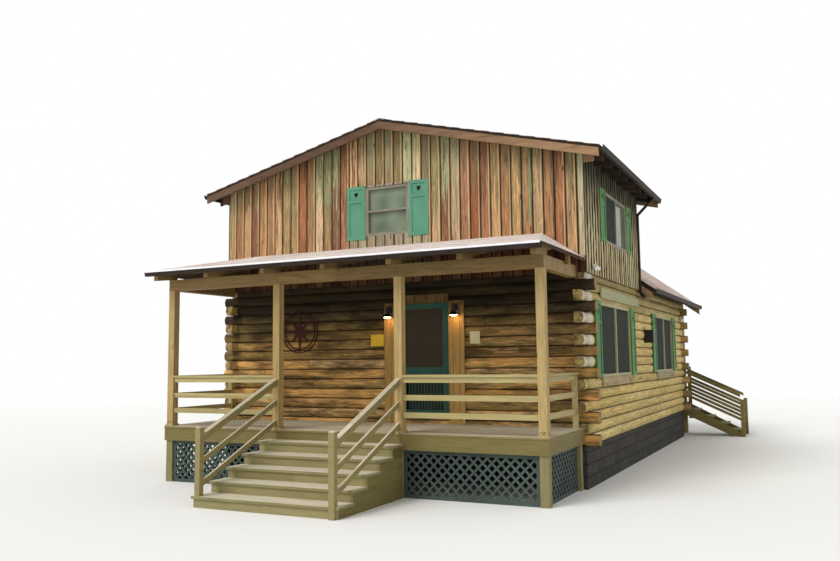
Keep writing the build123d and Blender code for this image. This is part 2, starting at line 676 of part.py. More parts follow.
rafters = []
tail_y = PORCH_EAVE_Y + RAFTER_END
beam_back = beam_front + POST
outer_rafter = DECK_HALF - RAFTER_END
for index in range(RAFTER_BAYS + 1):
    x = max(-outer_rafter, min(outer_rafter, (index - RAFTER_BAYS / 2) * RAFTER_STEP))
    rafter = along_x([(tail_y, porch_under(tail_y)), (wall_y, porch_under(wall_y)),
                      (wall_y, porch_under(wall_y) - RAFTER_DEPTH),
                      (beam_back, max(BEAM_TOP, porch_under(beam_back) - RAFTER_DEPTH)),
                      (beam_back, BEAM_TOP), (beam_front, BEAM_TOP),
                      (tail_y, porch_under(tail_y) - RAFTER_DEPTH)],
                     x - RAFTER_WIDTH / 2, x + RAFTER_WIDTH / 2)
    rafters.append(rafter & under_porch)
side_tail_y = SIDE_TAIL_SHARE * (beam_front + wall_y)
side_tail = slab(outer_rafter + RAFTER_WIDTH / 2, PORCH_EAVE_HALF - LATTICE_SIDE_BACK,
                 side_tail_y - RAFTER_WIDTH / 2, side_tail_y + RAFTER_WIDTH / 2,
                 BEAM_TOP - TAIL_WIDTH, PORCH_WALL_Z) & under_porch
rafters += [side_tail, mirror_x(side_tail)]
save("porch_rafters", rafters)

beam = slab(post_x[0], post_x[-1] + POST, beam_front, beam_back, BEAM_BOTTOM, BEAM_TOP)
for x in (post_x[0], post_x[-1]):
    beam += slab(x, x + POST, beam_front, -LOG_PASS - CORNER_GAP, BEAM_BOTTOM, BEAM_TOP)
save("porch_beams", beam)

posts = []
for x in post_x:
    post = slab(x, x + POST, beam_front, beam_back, DECK_TOP, BEAM_BOTTOM)
    post += slab(x - POST_TRIM, x + POST + POST_TRIM, beam_front - POST_TRIM, beam_back + POST_TRIM,
                 DECK_TOP, DECK_TOP + POST_TRIM_HEIGHT)
    posts.append(post)
save("porch_posts", posts)

# Deck boards, the rim boards and joists below them, and the short posts
save("deck", slab(-DECK_HALF, DECK_HALF, -DECK_DEPTH, 0, DECK_TOP - DECK_BOARD, DECK_TOP))


def platform_frame(half, front, back, top):
    """Rim and ledger along X, then the outer joists and the ones between, under a floor's boards."""
    low, high = top - RIM_HEIGHT, top - DECK_BOARD
    rims = [slab(-half, half, front, front + RIM_THICK, low, high),
            slab(-half, half, back - RIM_THICK, back, low, high)]
    joists = []
    for index in range(JOIST_BAYS + 1):
        middle = -half + RIM_THICK / 2 + index * (2 * half - RIM_THICK) / JOIST_BAYS
        drop = low if index in (0, JOIST_BAYS) else low + JOIST_RISE
        joists.append(slab(middle - RIM_THICK / 2, middle + RIM_THICK / 2,
                           front + RIM_THICK, back - RIM_THICK, drop, high))
    return rims, joists


rim_half = DECK_HALF - BOARD_LIP
back_edge = HOUSE_DEPTH + BACK_DEPTH
front_rims, front_joists = platform_frame(rim_half, -DECK_DEPTH + BOARD_LIP, 0, DECK_TOP)
back_rims, back_joists = platform_frame(rim_half, HOUSE_DEPTH, back_edge - BOARD_LIP, BACK_FLOOR)
save("porch_rims", front_rims + back_rims)
save("porch_joists", front_joists + back_joists)

side_post_y = -LOG_PASS - BACK_POST_GAP
short_posts = [slab(x, x + POST, beam_front, beam_back, 0, under_rim) for x in post_x]
short_posts += [slab(x, x + POST, side_post_y, side_post_y + POST, 0, under_rim)
                for x in (post_x[0], post_x[-1])]
save("deck_posts", short_posts)

# Lattice skirts between the short posts


def lattice(u0, u1):
    """Diagonal strips both ways in a flat frame, from the ground up to the rim, drawn in u and z."""
    middle = Pos((u0 + u1) / 2, under_rim / 2)
    window = middle * Rectangle(u1 - u0 - LATTICE_FRAME, under_rim - LATTICE_FRAME)
    count = int((u1 - u0 + under_rim) / STRIP_PITCH) + 2
    spots = [u0 - under_rim / 2 + index * STRIP_PITCH for index in range(count)]
    bars = Sketch() + [Pos(spot, under_rim / 2) * Rot(0, 0, turn) * Rectangle(2 * under_rim, STRIP)
                       for spot in spots for turn in (45, -45)]
    ring = middle * (Rectangle(u1 - u0, under_rim)
                     - Rectangle(u1 - u0 - 2 * LATTICE_FRAME, under_rim - 2 * LATTICE_FRAME))
    return ring + (bars & window)


front_plane = Plane(origin=(0, beam_front + LATTICE_BACK, 0), x_dir=(1, 0, 0), z_dir=(0, -1, 0))
front_panel = extrude(front_plane * lattice(post_x[2] + POST, post_x[3]), LATTICE_THICK)
side_plane = Plane(origin=(post_x[3] + LATTICE_SIDE_BACK, 0, 0), x_dir=(0, 1, 0), z_dir=(1, 0, 0))
side_panel = extrude(side_plane * lattice(beam_back, side_post_y), LATTICE_THICK)
save("porch_lattice", [front_panel, mirror_x(front_panel), side_panel, mirror_x(side_panel)])

# Front steps: treads and closed risers on three notched stringers
nosing = [(-DECK_DEPTH - FIRST_NOSING - index * TREAD_RUN, DECK_TOP - (index + 1) * RISER)
          for index in range(STEPS - 1)]
riser_faces = [-DECK_DEPTH + BOARD_LIP] + [front + NOSE for front, _ in nosing]
treads = []
risers = []
outline = [(-DECK_DEPTH + BOARD_LIP, 0)]
stringer_out = STEP_HALF - STRINGER_INSET
for index, (front, top) in enumerate(nosing):
    under = top - TREAD_THICK
    face = riser_faces[index + 1]
    foot = max(0.0, under - RISER)
    treads.append(slab(-STEP_HALF, STEP_HALF, front, riser_faces[index], under, top))
    risers.append(slab(-stringer_out, stringer_out, face, face + RISER_BOARD, foot, under))
    outline += [(riser_faces[index] + (RISER_BOARD if index else 0.0), under), (face + RISER_BOARD, under)]
outline.append((riser_faces[-1] + RISER_BOARD, 0))
stringers = [along_x(outline, x, x + STRINGER_THICK)
             for x in (-stringer_out, -STRINGER_THICK / 2, stringer_out - STRINGER_THICK)]

# Level rails


def rail_x(x0, x1, y, z):
    """A level rail along X, y and z at its middle."""
    return slab(x0, x1, y - RAIL_THICK / 2, y + RAIL_THICK / 2, z - RAIL_HEIGHT / 2, z + RAIL_HEIGHT / 2)


def rail_y(x, y0, y1, z):
    """A level rail along Y, x and z at its middle."""
    return slab(x - RAIL_THICK / 2, x + RAIL_THICK / 2, y0, y1, z - RAIL_HEIGHT / 2, z + RAIL_HEIGHT / 2)


cap_low = RAIL_TOP - RAIL_THICK
rail_heights = [cap_low - RAIL_HEIGHT / 2] + [DECK_TOP + rise for rise in MID_RAIL_RISES]
post_mid = beam_front + POST / 2
front_rails = []
for x0, x1 in ((post_x[0] + POST, post_x[1]), (post_x[2] + POST, post_x[3])):
    cap = slab(x0, x1, post_mid - CAP_WIDTH / 2, post_mid + CAP_WIDTH / 2, cap_low, RAIL_TOP)
    levels = [rail_x(x0, x1, post_mid - RAIL_BACK, z) for z in rail_heights]
    front_rails += [cap + levels[0]] + levels[1:]
save("porch_front_rails", front_rails)

end_post_y = -LOG_PASS - END_POST_GAP
side_rails = []
for x in (post_x[-1] + POST / 2, post_x[0] + POST / 2):
    rails = slab(x - CAP_WIDTH / 2, x + CAP_WIDTH / 2, beam_back, end_post_y + END_POST_DEPTH,
                 cap_low, RAIL_TOP)
    for z in rail_heights:
        rails += rail_y(x, beam_back, end_post_y, z)
    rails += slab(x - END_POST / 2, x + END_POST / 2, end_post_y, end_post_y + END_POST_DEPTH,
                  DECK_TOP, cap_low)
    side_rails.append(rails)
save("porch_side_rails", side_rails)

# Stair newels: the left one stands on the lowest tread, the right one runs to the ground
low_front, low_top = nosing[-1]
newel_top = low_top + NEWEL_RISE


def newel_post(x, y, z0):
    """A square newel with a chamfered cap."""
    post = slab(x - NEWEL / 2, x + NEWEL / 2, y, y + NEWEL, z0, newel_top)
    return chamfer(post.faces().sort_by(Axis.Z)[-1].edges(), NEWEL_CHAMFER)


def sloped(x, width, y0, y1, z1, height):
    """A board that climbs with the stair from y0 to y1, where its middle is at z1."""
    z0 = z1 - (y1 - y0) * RISER / TREAD_RUN
    half = height / 2
    return along_x([(y0, z0 - half), (y1, z1 - half), (y1, z1 + half), (y0, z0 + half)],
                   x - width / 2, x + width / 2)


left_newel_x = post_x[1] + POST / 2
right_newel_x = post_x[2] + POST / 2
left_newel_y = low_front + LEFT_NEWEL_BACK
right_newel_y = low_front - RIGHT_NEWEL_OUT
notch = slab(right_newel_x - NEWEL / 2, right_newel_x + NEWEL / 2, right_newel_y, right_newel_y + NEWEL,
             -CUT, newel_top)

# Stair rails: a capped top board and two plain boards from each newel up to the porch post
stair_rails = []
for x, y, foot in ((left_newel_x, left_newel_y, low_top), (right_newel_x, right_newel_y, 0)):
    rails = newel_post(x, y, foot)
    start = y + NEWEL / 2
    for rise in STAIR_RAIL_RISES:
        rails += sloped(x, RAIL_THICK, start, beam_front, DECK_TOP + rise, RAIL_HEIGHT)
    cap_z = DECK_TOP + STAIR_RAIL_RISES[0] + RAIL_HEIGHT / 2 + RAIL_THICK / 2
    rails += sloped(x, STAIR_CAP, start, beam_front, cap_z, RAIL_THICK)
    stair_rails.append(rails)
save("front_stair_rails", stair_rails)

treads[-1] -= notch
risers[-1] -= notch
stringers[-1] -= notch
save("front_treads", treads)
save("front_risers", risers)
save("front_stringers", stringers)

# Door frame with its wide plank casings, joined through the wall
casing_foot = DECK_TOP + CASING_CLEAR
frame = slab(DOOR_LEFT, DOOR_LEFT + JAMB, 0, LOG_THICKNESS, FLOOR_TOP, DOOR_HEAD)
frame += slab(DOOR_RIGHT - JAMB, DOOR_RIGHT, 0, LOG_THICKNESS, FLOOR_TOP, DOOR_HEAD)
frame += slab(DOOR_LEFT, DOOR_RIGHT, 0, LOG_THICKNESS, DOOR_HEAD - JAMB, DOOR_HEAD)
frame += slab(DOOR_LEFT, DOOR_RIGHT, 0, LOG_THICKNESS, FLOOR_TOP, FLOOR_TOP + SILL_HEIGHT)
frame += slab(DOOR_LEFT - CASING_WIDTH, DOOR_LEFT + CASING_LAP, -CASING_THICK, 0, casing_foot, DOOR_HEAD)
frame += slab(DOOR_RIGHT - CASING_LAP, DOOR_RIGHT + CASING_WIDTH, -CASING_THICK, 0, casing_foot, DOOR_HEAD)
frame += slab(DOOR_LEFT + CASING_LAP, DOOR_RIGHT - CASING_LAP, -CASING_THICK, 0,
              DOOR_HEAD - JAMB + HEADER_LAP, DOOR_HEAD + HEADER_RISE)

leaf_x0 = DOOR_LEFT + JAMB + LEAF_GAP
leaf_x1 = DOOR_RIGHT - JAMB - LEAF_GAP
leaf_z0 = FLOOR_TOP + SILL_HEIGHT + LEAF_GAP
leaf_z1 = DOOR_HEAD - JAMB - LEAF_GAP
hinge_x = leaf_x1 + LEAF_GAP / 2
screen_y0 = SCREEN_BACK
screen_y1 = screen_y0 + SCREEN_THICK
entry_y1 = LOG_THICKNESS - ENTRY_BACK
entry_y0 = entry_y1 - ENTRY_THICK
screen_hinge_y = screen_y0 - HINGE_R - HINGE_STAND
entry_hinge_y = LOG_THICKNESS + HINGE_R + HINGE_CLEAR


def hinge(axis_y, out, leaf_face, jamb_face, z):
    """One butt hinge: the fixed half with its pin, and the leaf's half."""
    def barrel(low, high, radius):
        return Pos(hinge_x, axis_y, z + low) * extrude(RegularPolygon(radius, BARREL_SIDES), high - low)

    def plate(x0, x1, face, low, high):
        y0, y1 = sorted((face, axis_y - out * (HINGE_R - HINGE_SEAT)))
        return slab(x0, x1, y0, y1, z + low, z + high)

    fixed = barrel(0, 3 * KNUCKLE, PIN_R)
    for low in (0, 2 * KNUCKLE):
        fixed += barrel(low, low + KNUCKLE, HINGE_R)
        fixed += plate(hinge_x + HINGE_CLEAR, DOOR_RIGHT - CASING_LAP, jamb_face, low, low + KNUCKLE)
    low, high = KNUCKLE + KNUCKLE_GAP, 2 * KNUCKLE - KNUCKLE_GAP
    moving = barrel(low, high, HINGE_R)
    moving += plate(leaf_x1 - HINGE_LEAF, hinge_x - HINGE_CLEAR, leaf_face, low, high)
    moving -= barrel(low - HINGE_CLEAR, high + HINGE_CLEAR, PIN_R + PIN_GAP)
    return fixed, moving


def knob(x, face, out, z):
    """A round door knob on a stem and rose."""
    outline = Polyline((0, 0), (24, 0), (24, 5), (8, 8), (8, 22), (24, 30), (22, 43), (0, 49), close=True)
    turned = revolve(Plane.XZ * make_face(outline), Axis.Z)
    return Pos(x, face, z) * Rot(90 if out < 0 else -90, 0, 0) * turned


screen_mid = FLOOR_TOP + SCREEN_MID_RISE
mesh_z0 = screen_mid + MID_RAIL
mesh_z1 = leaf_z1 - TOP_RAIL
bar_z0 = leaf_z0 + BOTTOM_RAIL
pane_x0 = leaf_x0 + STILE
pane_x1 = leaf_x1 - STILE
screen = slab(leaf_x0, leaf_x1, screen_y0, screen_y1, leaf_z0, leaf_z1)
for low, high in ((mesh_z0, mesh_z1), (bar_z0, screen_mid)):
    screen -= slab(pane_x0, pane_x1, screen_y0 - CUT, screen_y1 + CUT, low, high)
bar_y = (screen_y0 + screen_y1) / 2
for index in range(SCREEN_BARS):
    x = pane_x0 + (index + 1) * (pane_x1 - pane_x0) / (SCREEN_BARS + 1)
    screen += slab(x - BAR_WIDTH / 2, x + BAR_WIDTH / 2, bar_y - BAR_THICK / 2, bar_y + BAR_THICK / 2,
                   bar_z0, screen_mid)
entry = slab(leaf_x0, leaf_x1, entry_y0, entry_y1, leaf_z0, leaf_z1)
leaf_mid = (leaf_x0 + leaf_x1) / 2
for x0, x1 in ((leaf_x0 + PANEL_SIDE, leaf_mid - JAMB), (leaf_mid + JAMB, leaf_x1 - PANEL_SIDE)):
    for z0, z1 in ((leaf_z0 + PANEL_BOTTOM, leaf_z0 + PANEL_SPLIT),
                   (leaf_z0 + PANEL_SPLIT + PANEL_RAIL, leaf_z1 - PANEL_TOP)):
        entry -= slab(x0, x1, entry_y0 - CUT, entry_y0 + PANEL_SINK, z0, z1)
        entry -= slab(x0, x1, entry_y1 - PANEL_SINK, entry_y1 + CUT, z0, z1)
for z in (leaf_z0 + HINGE_FROM_BOTTOM, (leaf_z0 + leaf_z1) / 2, leaf_z1 - HINGE_FROM_TOP):
    fixed, moving = hinge(screen_hinge_y, -1, screen_y0, 0, z)
    frame += fixed
    screen += moving
    fixed, moving = hinge(entry_hinge_y, 1, entry_y1, LOG_THICKNESS, z)
    frame += fixed
    entry += moving
knob_x = leaf_x0 + KNOB_BACKSET
knob_z = screen_mid + KNOB_RISE
screen += knob(knob_x, screen_y0, -1, knob_z)
entry += knob(knob_x, entry_y0, -1, knob_z)
entry += knob(knob_x, entry_y1, 1, knob_z)
save("door_frame", frame)
save("screen_door", screen)
save("screen_mesh", slab(pane_x0, pane_x1, screen_y0 + MESH_INSET, screen_y0 + MESH_INSET + MESH_THICK,
                         mesh_z0, mesh_z1))
save("entry_door", entry)


def slider(x, window, depth):
    """Frame of a side window with a middle post, its outer face at x."""
    y0, y1, z0, z1 = window
    shape = slab(x - depth, x, y0, y1, z0, z1)
    for a, b in halves(y0, y1):
        shape -= slab(x - depth - CUT, x + CUT, a, b, z0 + SASH, z1 - SASH)
    return shape


def halves(y0, y1):
    """The two clear spans beside a window's middle post."""
    middle = (y0 + y1) / 2
    return (y0 + SASH, middle - SASH / 2), (middle + SASH / 2, y1 - SASH)


frame_front = -SIDING_OUT - FRAME_PROUD
meeting = (wz0 + wz1) / 2
sashes = ((wz0 + SASH, meeting - MEETING_RAIL / 2), (meeting + MEETING_RAIL / 2, wz1 - SASH))
front_frame = slab(wx0, wx1, frame_front, frame_front + FRONT_FRAME_DEPTH, wz0, wz1)
for low, high in sashes:
    front_frame -= slab(wx0 + SASH, wx1 - SASH, frame_front - CUT, UPPER_WALL, low, high)
upper_frame = slider(siding_half + FRAME_PROUD, upper_win, UPPER_FRAME_DEPTH)
save("upper_window_frames", [front_frame, upper_frame, mirror_x(upper_frame)])
lower_frames = [slider(HOUSE_HALF + LOG_FRAME_PROUD, window, LOG_FRAME_DEPTH)
                for window in (lower_win_1, lower_win_2)]
save("lower_window_frames", lower_frames + [mirror_x(shape) for shape in lower_frames])

glass_y = -SIDING_OUT + FRONT_GLASS_BACK
glass = [slab(wx0 + SASH, wx1 - SASH, glass_y, glass_y + GLASS_THICK, low, high) for low, high in sashes]
for x, (y0, y1, z0, z1) in ((siding_half - UPPER_GLASS_BACK, upper_win),
                            (HOUSE_HALF - LOWER_GLASS_BACK, lower_win_1),
                            (HOUSE_HALF - LOWER_GLASS_BACK, lower_win_2)):
    for a, b in halves(y0, y1):
        pane = slab(x, x + GLASS_THICK, a, b, z0 + SASH, z1 - SASH)
        glass += [pane, mirror_x(pane)]
save("window_glass", glass)

# Planks on the log wall: an apron under each window and a long header over the front one
plank_out = HOUSE_HALF + WINDOW_PLANK_THICK
header_z = lower_win_1[3] + HEADER_PLANK_OVER
planks = [slab(HOUSE_HALF, plank_out, lower_win_1[0] + HEADER_PLANK_START, lower_win_1[1] + HEADER_PLANK_PAST,
               header_z, header_z + HEADER_PLANK_HEIGHT)]
for y0, y1, z0, z1 in (lower_win_1, lower_win_2):
    planks.append(slab(HOUSE_HALF, plank_out, y0, y1, z0 - APRON_HEIGHT, z0))
save("window_planks", planks + [mirror_x(plank) for plank in planks])
between = (lower_win_1[1] + SHUTTER_GAP + SHUTTER, lower_win_2[0] - SHUTTER_GAP - SHUTTER)
box_y = between[0] + BOX_PLACE * (between[1] - between[0])
box_z = lower_sill + BOX_RISE
save("wall_box", slab(HOUSE_HALF, HOUSE_HALF + WALL_BOX_DEPTH, box_y - BOX_WIDTH / 2, box_y + BOX_WIDTH / 2,
                      box_z, box_z + BOX_HEIGHT))


def shutter(height):
    """One shutter lying in XZ from the origin, face towards -Y."""
    board = slab(0, SHUTTER, -SHUTTER_THICK, 0, 0, height)
    split = height * SHUTTER_SPLIT
    low, high = split + SHUTTER_RAIL / 2, height - SHUTTER_BORDER
    for z0, z1 in ((SHUTTER_FOOT, split - SHUTTER_RAIL / 2), (low, high)):
        board -= slab(SHUTTER_BORDER, SHUTTER - SHUTTER_BORDER, -SHUTTER_THICK - CUT,
                      SHUTTER_SINK - SHUTTER_THICK, z0, z1)
    middle_z = (low + high) / 2
    leaf = LEAF + [(-x, z) for x, z in reversed(LEAF[1:-1])]
    return board - along_y([(SHUTTER / 2 + x, middle_z + z) for x, z in leaf], -SHUTTER_THICK, CUT)


front_z = wz0 - FRONT_SHUTTER_DROP
save("front_shutters", [Pos(x, -SIDING_OUT, front_z) * shutter(FRONT_SHUTTER_HEIGHT)
                        for x in (wx1 + SHUTTER_GAP, wx0 - SHUTTER_GAP - SHUTTER)])
side_shutters = []
for x, (y0, y1, z0, z1) in ((siding_half, upper_win), (HOUSE_HALF, lower_win_1), (HOUSE_HALF, lower_win_2)):
    for y in (y1 + SHUTTER_GAP, y0 - SHUTTER_GAP - SHUTTER):
        piece = Pos(x, y, z0) * Rot(0, 0, 90) * shutter(z1 - z0 + SIDE_SHUTTER_OVER)
        side_shutters += [piece, mirror_x(piece)]
save("side_shutters", side_shutters)

# Wall lamps: a back plate, an arm and a flared shade
plate_width, plate_thick, plate_height = LAMP_PLATE
casing_y = -CASING_THICK
lamps = []
for x in (DOOR_LEFT - CASING_WIDTH / 2, DOOR_RIGHT + CASING_WIDTH / 2):
    shade = revolve(Plane.XZ * make_face(Polyline(*SHADE, close=True)), Axis.Z)
    lamp = Pos(x, casing_y - LAMP_OUT, DOOR_HEAD - LAMP_DROP) * shade
    plate_z = DOOR_HEAD - LAMP_PLATE_DROP
    arm_z = DOOR_HEAD - LAMP_ARM_DROP
    lamp += slab(x - plate_width / 2, x + plate_width / 2, casing_y - plate_thick, casing_y,
                 plate_z, plate_z + plate_height)
    lamp += slab(x - LAMP_ARM / 2, x + LAMP_ARM / 2, casing_y - LAMP_OUT, casing_y - plate_thick / 2,
                 arm_z, arm_z + LAMP_ARM)
    lamps.append(lamp)
save("porch_lamps", lamps)

# Ornaments on the front wall: an eight-pointed compass in two rings, a plate and a shield
star = []
for index in range(2 * STAR_POINTS):
    radius = STAR_WAIST
    if index % 2 == 0:
        radius = WHEEL_R * STAR_SHORT if index % 4 == 2 else WHEEL_R - STAR_INSET
    angle = index * pi / STAR_POINTS
    star.append((radius * sin(angle), radius * cos(angle)))
wheel = make_face(Polyline(*star, close=True))
for ring in (WHEEL_R, WHEEL_R - WHEEL_RING_GAP):
    wheel += Circle(ring) - Circle(ring - WHEEL_RIM)
wheel_plane = Plane(origin=(WHEEL_X, 0, FLOOR_TOP + WHEEL_RISE), x_dir=(1, 0, 0), z_dir=(0, -1, 0))
save("compass_wheel", extrude(wheel_plane * wheel, WHEEL_THICK))
plaque_z = FLOOR_TOP + PLAQUE_RISE
shield_z = FLOOR_TOP + SHIELD_RISE
shield = [(0, 0), (SHIELD_HALF, SHIELD_POINT), (SHIELD_HALF, SHIELD_HEIGHT), (-SHIELD_HALF, SHIELD_HEIGHT),
          (-SHIELD_HALF, SHIELD_POINT)]
save("wall_plaques", [slab(PLAQUE_X - PLAQUE_WIDTH / 2, PLAQUE_X + PLAQUE_WIDTH / 2, -PLAQUE_THICK, 0,
                           plaque_z, plaque_z + PLAQUE_HEIGHT),
                      along_y([(SHIELD_X + u, shield_z + v) for u, v in shield], -SHIELD_THICK, 0)])

# Back porch, its posts, beams, rails and stair
save("back_porch", slab(-DECK_HALF, DECK_HALF, HOUSE_DEPTH, back_edge, BACK_FLOOR - DECK_BOARD, BACK_FLOOR))
back_post_y = back_edge - POST_INSET - POST
post_out = post_x[-1] + POST
back_beam_top = rear_under(post_out)
back_beam_low = back_beam_top - BACK_BEAM_DEPTH
back_low = BACK_FLOOR - RIM_HEIGHT
back_posts = []
for x in post_x:
    back_posts.append(slab(x, x + POST, back_post_y, back_post_y + POST, BACK_FLOOR, back_beam_low))
    back_posts.append(slab(x, x + POST, back_post_y, back_post_y + POST, 0, back_low))
ledger_post_y = HOUSE_DEPTH + BACK_LEDGER_POST
for x in (post_x[0], post_x[-1]):
    back_posts.append(slab(x, x + POST, ledger_post_y, ledger_post_y + POST, 0, back_low))
save("back_posts", back_posts)
side_beam = along_y([(post_x[-1], back_beam_low), (post_out, back_beam_low), (post_out, back_beam_top),
                     (post_x[-1], rear_under(post_x[-1]))],
                    HOUSE_DEPTH + LOG_PASS + CORNER_GAP, back_post_y + POST)
back_beam = slab(post_x[0], post_out, back_post_y, back_post_y + POST, back_beam_low, back_beam_top)
save("back_beam", back_beam + side_beam + mirror_x(side_beam))

back_heights = [BACK_FLOOR + rise for rise in BACK_RAIL_RISES]
back_rails = [rail_x(x0 + POST, x1, back_post_y + POST / 2, z)
              for x0, x1 in zip(post_x, post_x[1:]) for z in back_heights]
back_rails += [rail_y(post_x[0] + POST / 2, HOUSE_DEPTH + LOG_PASS, back_post_y, z) for z in back_heights]
save("back_porch_rails", back_rails)

stair_y1 = back_edge - BACK_STAIR_INSET
stair_y0 = stair_y1 - BACK_STAIR_WIDTH
stair_foot = DECK_HALF + (BACK_STEPS - 1) * BACK_RUN
stair = Part()
for index in range(1, BACK_STEPS):
    top = BACK_FLOOR - index * BACK_RISER
    x0 = DECK_HALF + (index - 1) * BACK_RUN
    stair += slab(x0, x0 + BACK_RUN - BACK_TREAD_GAP, stair_y0 + STRINGER_THICK, stair_y1 - STRINGER_THICK,
                  top - TREAD_THICK, top)
string_top = BACK_FLOOR - BACK_STRINGER_DROP
toe = stair_foot + BACK_TOE
for y in (stair_y0, stair_y1 - STRINGER_THICK):
    stair += along_y([(DECK_HALF, string_top), (DECK_HALF, string_top - BACK_STRINGER_DEPTH),
                      (stair_foot - BACK_STRINGER_FOOT, 0), (toe, 0), (toe, BACK_TOE)], y, y + STRINGER_THICK)
save("back_stair", stair)

stair_rail_sets = []
rail_inset = (NEWEL - RAIL_THICK) / 2
rail_x0, rail_x1 = DECK_HALF + NEWEL, toe - NEWEL
fall = (rail_x1 - rail_x0) * BACK_RISER / BACK_RUN
for y in (stair_y0 - NEWEL, stair_y1):
    rails = slab(rail_x1, toe, y, y + NEWEL, 0, BACK_NEWEL_HEIGHT)
    rails += slab(DECK_HALF, rail_x0, y, y + NEWEL, BACK_NEWEL_FOOT, BACK_FLOOR + BACK_NEWEL_OVER)
    for index in range(BACK_STAIR_RAILS):
        top = BACK_FLOOR + BACK_STAIR_RAIL_RISE - index * BACK_STAIR_RAIL_STEP
        low = top - BACK_STAIR_RAIL_HEIGHT
        rails += along_y([(rail_x0, top), (rail_x0, low), (rail_x1, low - fall), (rail_x1, top - fall)],
                         y + rail_inset, y + NEWEL - rail_inset)
    stair_rail_sets.append(rails)
save("back_stair_rails", stair_rail_sets)

# Back door in its opening, with a casing over the log ends
door_y0 = room_back + BACK_DOOR_INSET
door_y1 = door_y0 + BACK_DOOR_THICK
leaf = slab(-BACK_DOOR_HALF, BACK_DOOR_HALF, door_y0, door_y1, FLOOR_TOP, back_head)
panel_out = BACK_DOOR_HALF - PANEL_SIDE
for z0, z1 in ((FLOOR_TOP + PANEL_BOTTOM, FLOOR_TOP + PANEL_SPLIT),
               (FLOOR_TOP + PANEL_SPLIT + PANEL_RAIL, back_head - PANEL_TOP)):
    for x0, x1 in ((-panel_out, -JAMB), (JAMB, panel_out)):
        leaf -= slab(x0, x1, door_y1 - PANEL_SINK, door_y1 + CUT, z0, z1)
casing_x = BACK_DOOR_HALF + BACK_CASING
casing = slab(-casing_x, casing_x, HOUSE_DEPTH, HOUSE_DEPTH + BACK_CASING_THICK,
              BACK_FLOOR + CASING_CLEAR, back_head + BACK_CASING)
casing -= slab(-BACK_DOOR_HALF, BACK_DOOR_HALF, HOUSE_DEPTH - CUT, HOUSE_DEPTH + BACK_CASING_THICK + CUT,
               FLOOR_TOP, back_head)
save("back_door", [leaf, casing])

# Twin flood lights: at the front under the porch eave's end, and near the back corner


def flood(x, y, z):
    """A base on the wall with two round heads that turn outwards and down."""
    half = FLOOD_BASE / 2
    light = slab(x, x + FLOOD_BASE_THICK, y - half, y + half, z - half, z + half)
    for side in (-1, 1):
        head = Rot(0, 90, 0) * extrude(RegularPolygon(FLOOD_R, BARREL_SIDES), FLOOD_LONG)
        light += Pos(x + FLOOD_BASE_THICK, y + side * half, z) * Rot(0, FLOOD_TILT, side * FLOOD_TILT) * head
    return light


save("flood_lights", [flood(siding_half, FLOOD_FRONT_Y, WALL_TOP + FLOOD_FRONT_RISE),
                      flood(HOUSE_HALF, HOUSE_DEPTH - FLOOD_BACK_INSET,
                            LOG_BASE + FLOOD_BACK_COURSE * LOG_COURSE)])
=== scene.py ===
"""Finishes and fine pieces of a two-storey log cabin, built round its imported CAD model.

Metres, +Z up, front towards -Y. The ground is z = 0 and the front log wall's face is y = 0.
"""

import logging
import math
from contextlib import contextmanager
from dataclasses import dataclass, replace
from enum import Enum
from functools import partial
from typing import Any, Callable, Iterator, Sequence

import bpy
from mathutils import Matrix, Vector

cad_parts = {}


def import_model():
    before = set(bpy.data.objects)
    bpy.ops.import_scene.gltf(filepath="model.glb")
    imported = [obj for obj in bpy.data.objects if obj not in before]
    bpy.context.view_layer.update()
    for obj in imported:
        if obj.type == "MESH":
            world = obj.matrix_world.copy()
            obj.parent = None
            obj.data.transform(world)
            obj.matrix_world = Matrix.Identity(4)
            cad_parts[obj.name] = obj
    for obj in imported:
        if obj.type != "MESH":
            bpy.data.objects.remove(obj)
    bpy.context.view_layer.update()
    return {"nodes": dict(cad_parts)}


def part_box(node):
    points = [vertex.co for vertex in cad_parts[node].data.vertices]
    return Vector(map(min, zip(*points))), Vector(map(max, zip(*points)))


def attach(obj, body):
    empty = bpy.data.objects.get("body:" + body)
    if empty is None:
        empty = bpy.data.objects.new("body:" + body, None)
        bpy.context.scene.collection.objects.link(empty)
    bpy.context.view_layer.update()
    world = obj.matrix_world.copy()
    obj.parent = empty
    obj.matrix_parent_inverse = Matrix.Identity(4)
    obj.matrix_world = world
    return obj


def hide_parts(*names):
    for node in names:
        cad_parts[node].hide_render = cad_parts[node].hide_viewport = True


LOG = logging.getLogger("cabin")
Point = tuple[float, float, float]
Span = tuple[float, float, float, float]
Piece = bpy.types.Object
Build = Callable[..., Any]
TOUCH = 1e-4
SMOOTH_ANGLE = math.radians(35)


class Axis(Enum):
    """The axis that a board's grain runs along."""

    X = 0
    Y = 1
    Z = 2


class Body(Enum):
    """The moving bodies of the cabin."""

    CABIN = "cabin"
    SCREEN_DOOR = "screen_door"
    ENTRY_DOOR = "entry_door"


def linear(hex_colour: str) -> tuple[float, float, float, float]:
    """Turn an sRGB hex colour to linear light.

    Args:
        hex_colour: such as "#8a6a3c".

    Returns:
        Red, green, blue and alpha, linear.
    """
    channels = [int(hex_colour[i:i + 2], 16) / 255 for i in (1, 3, 5)]
    lit = [c / 12.92 if c <= 0.04045 else ((c + 0.055) / 1.055) ** 2.4 for c in channels]
    return (lit[0], lit[1], lit[2], 1.0)


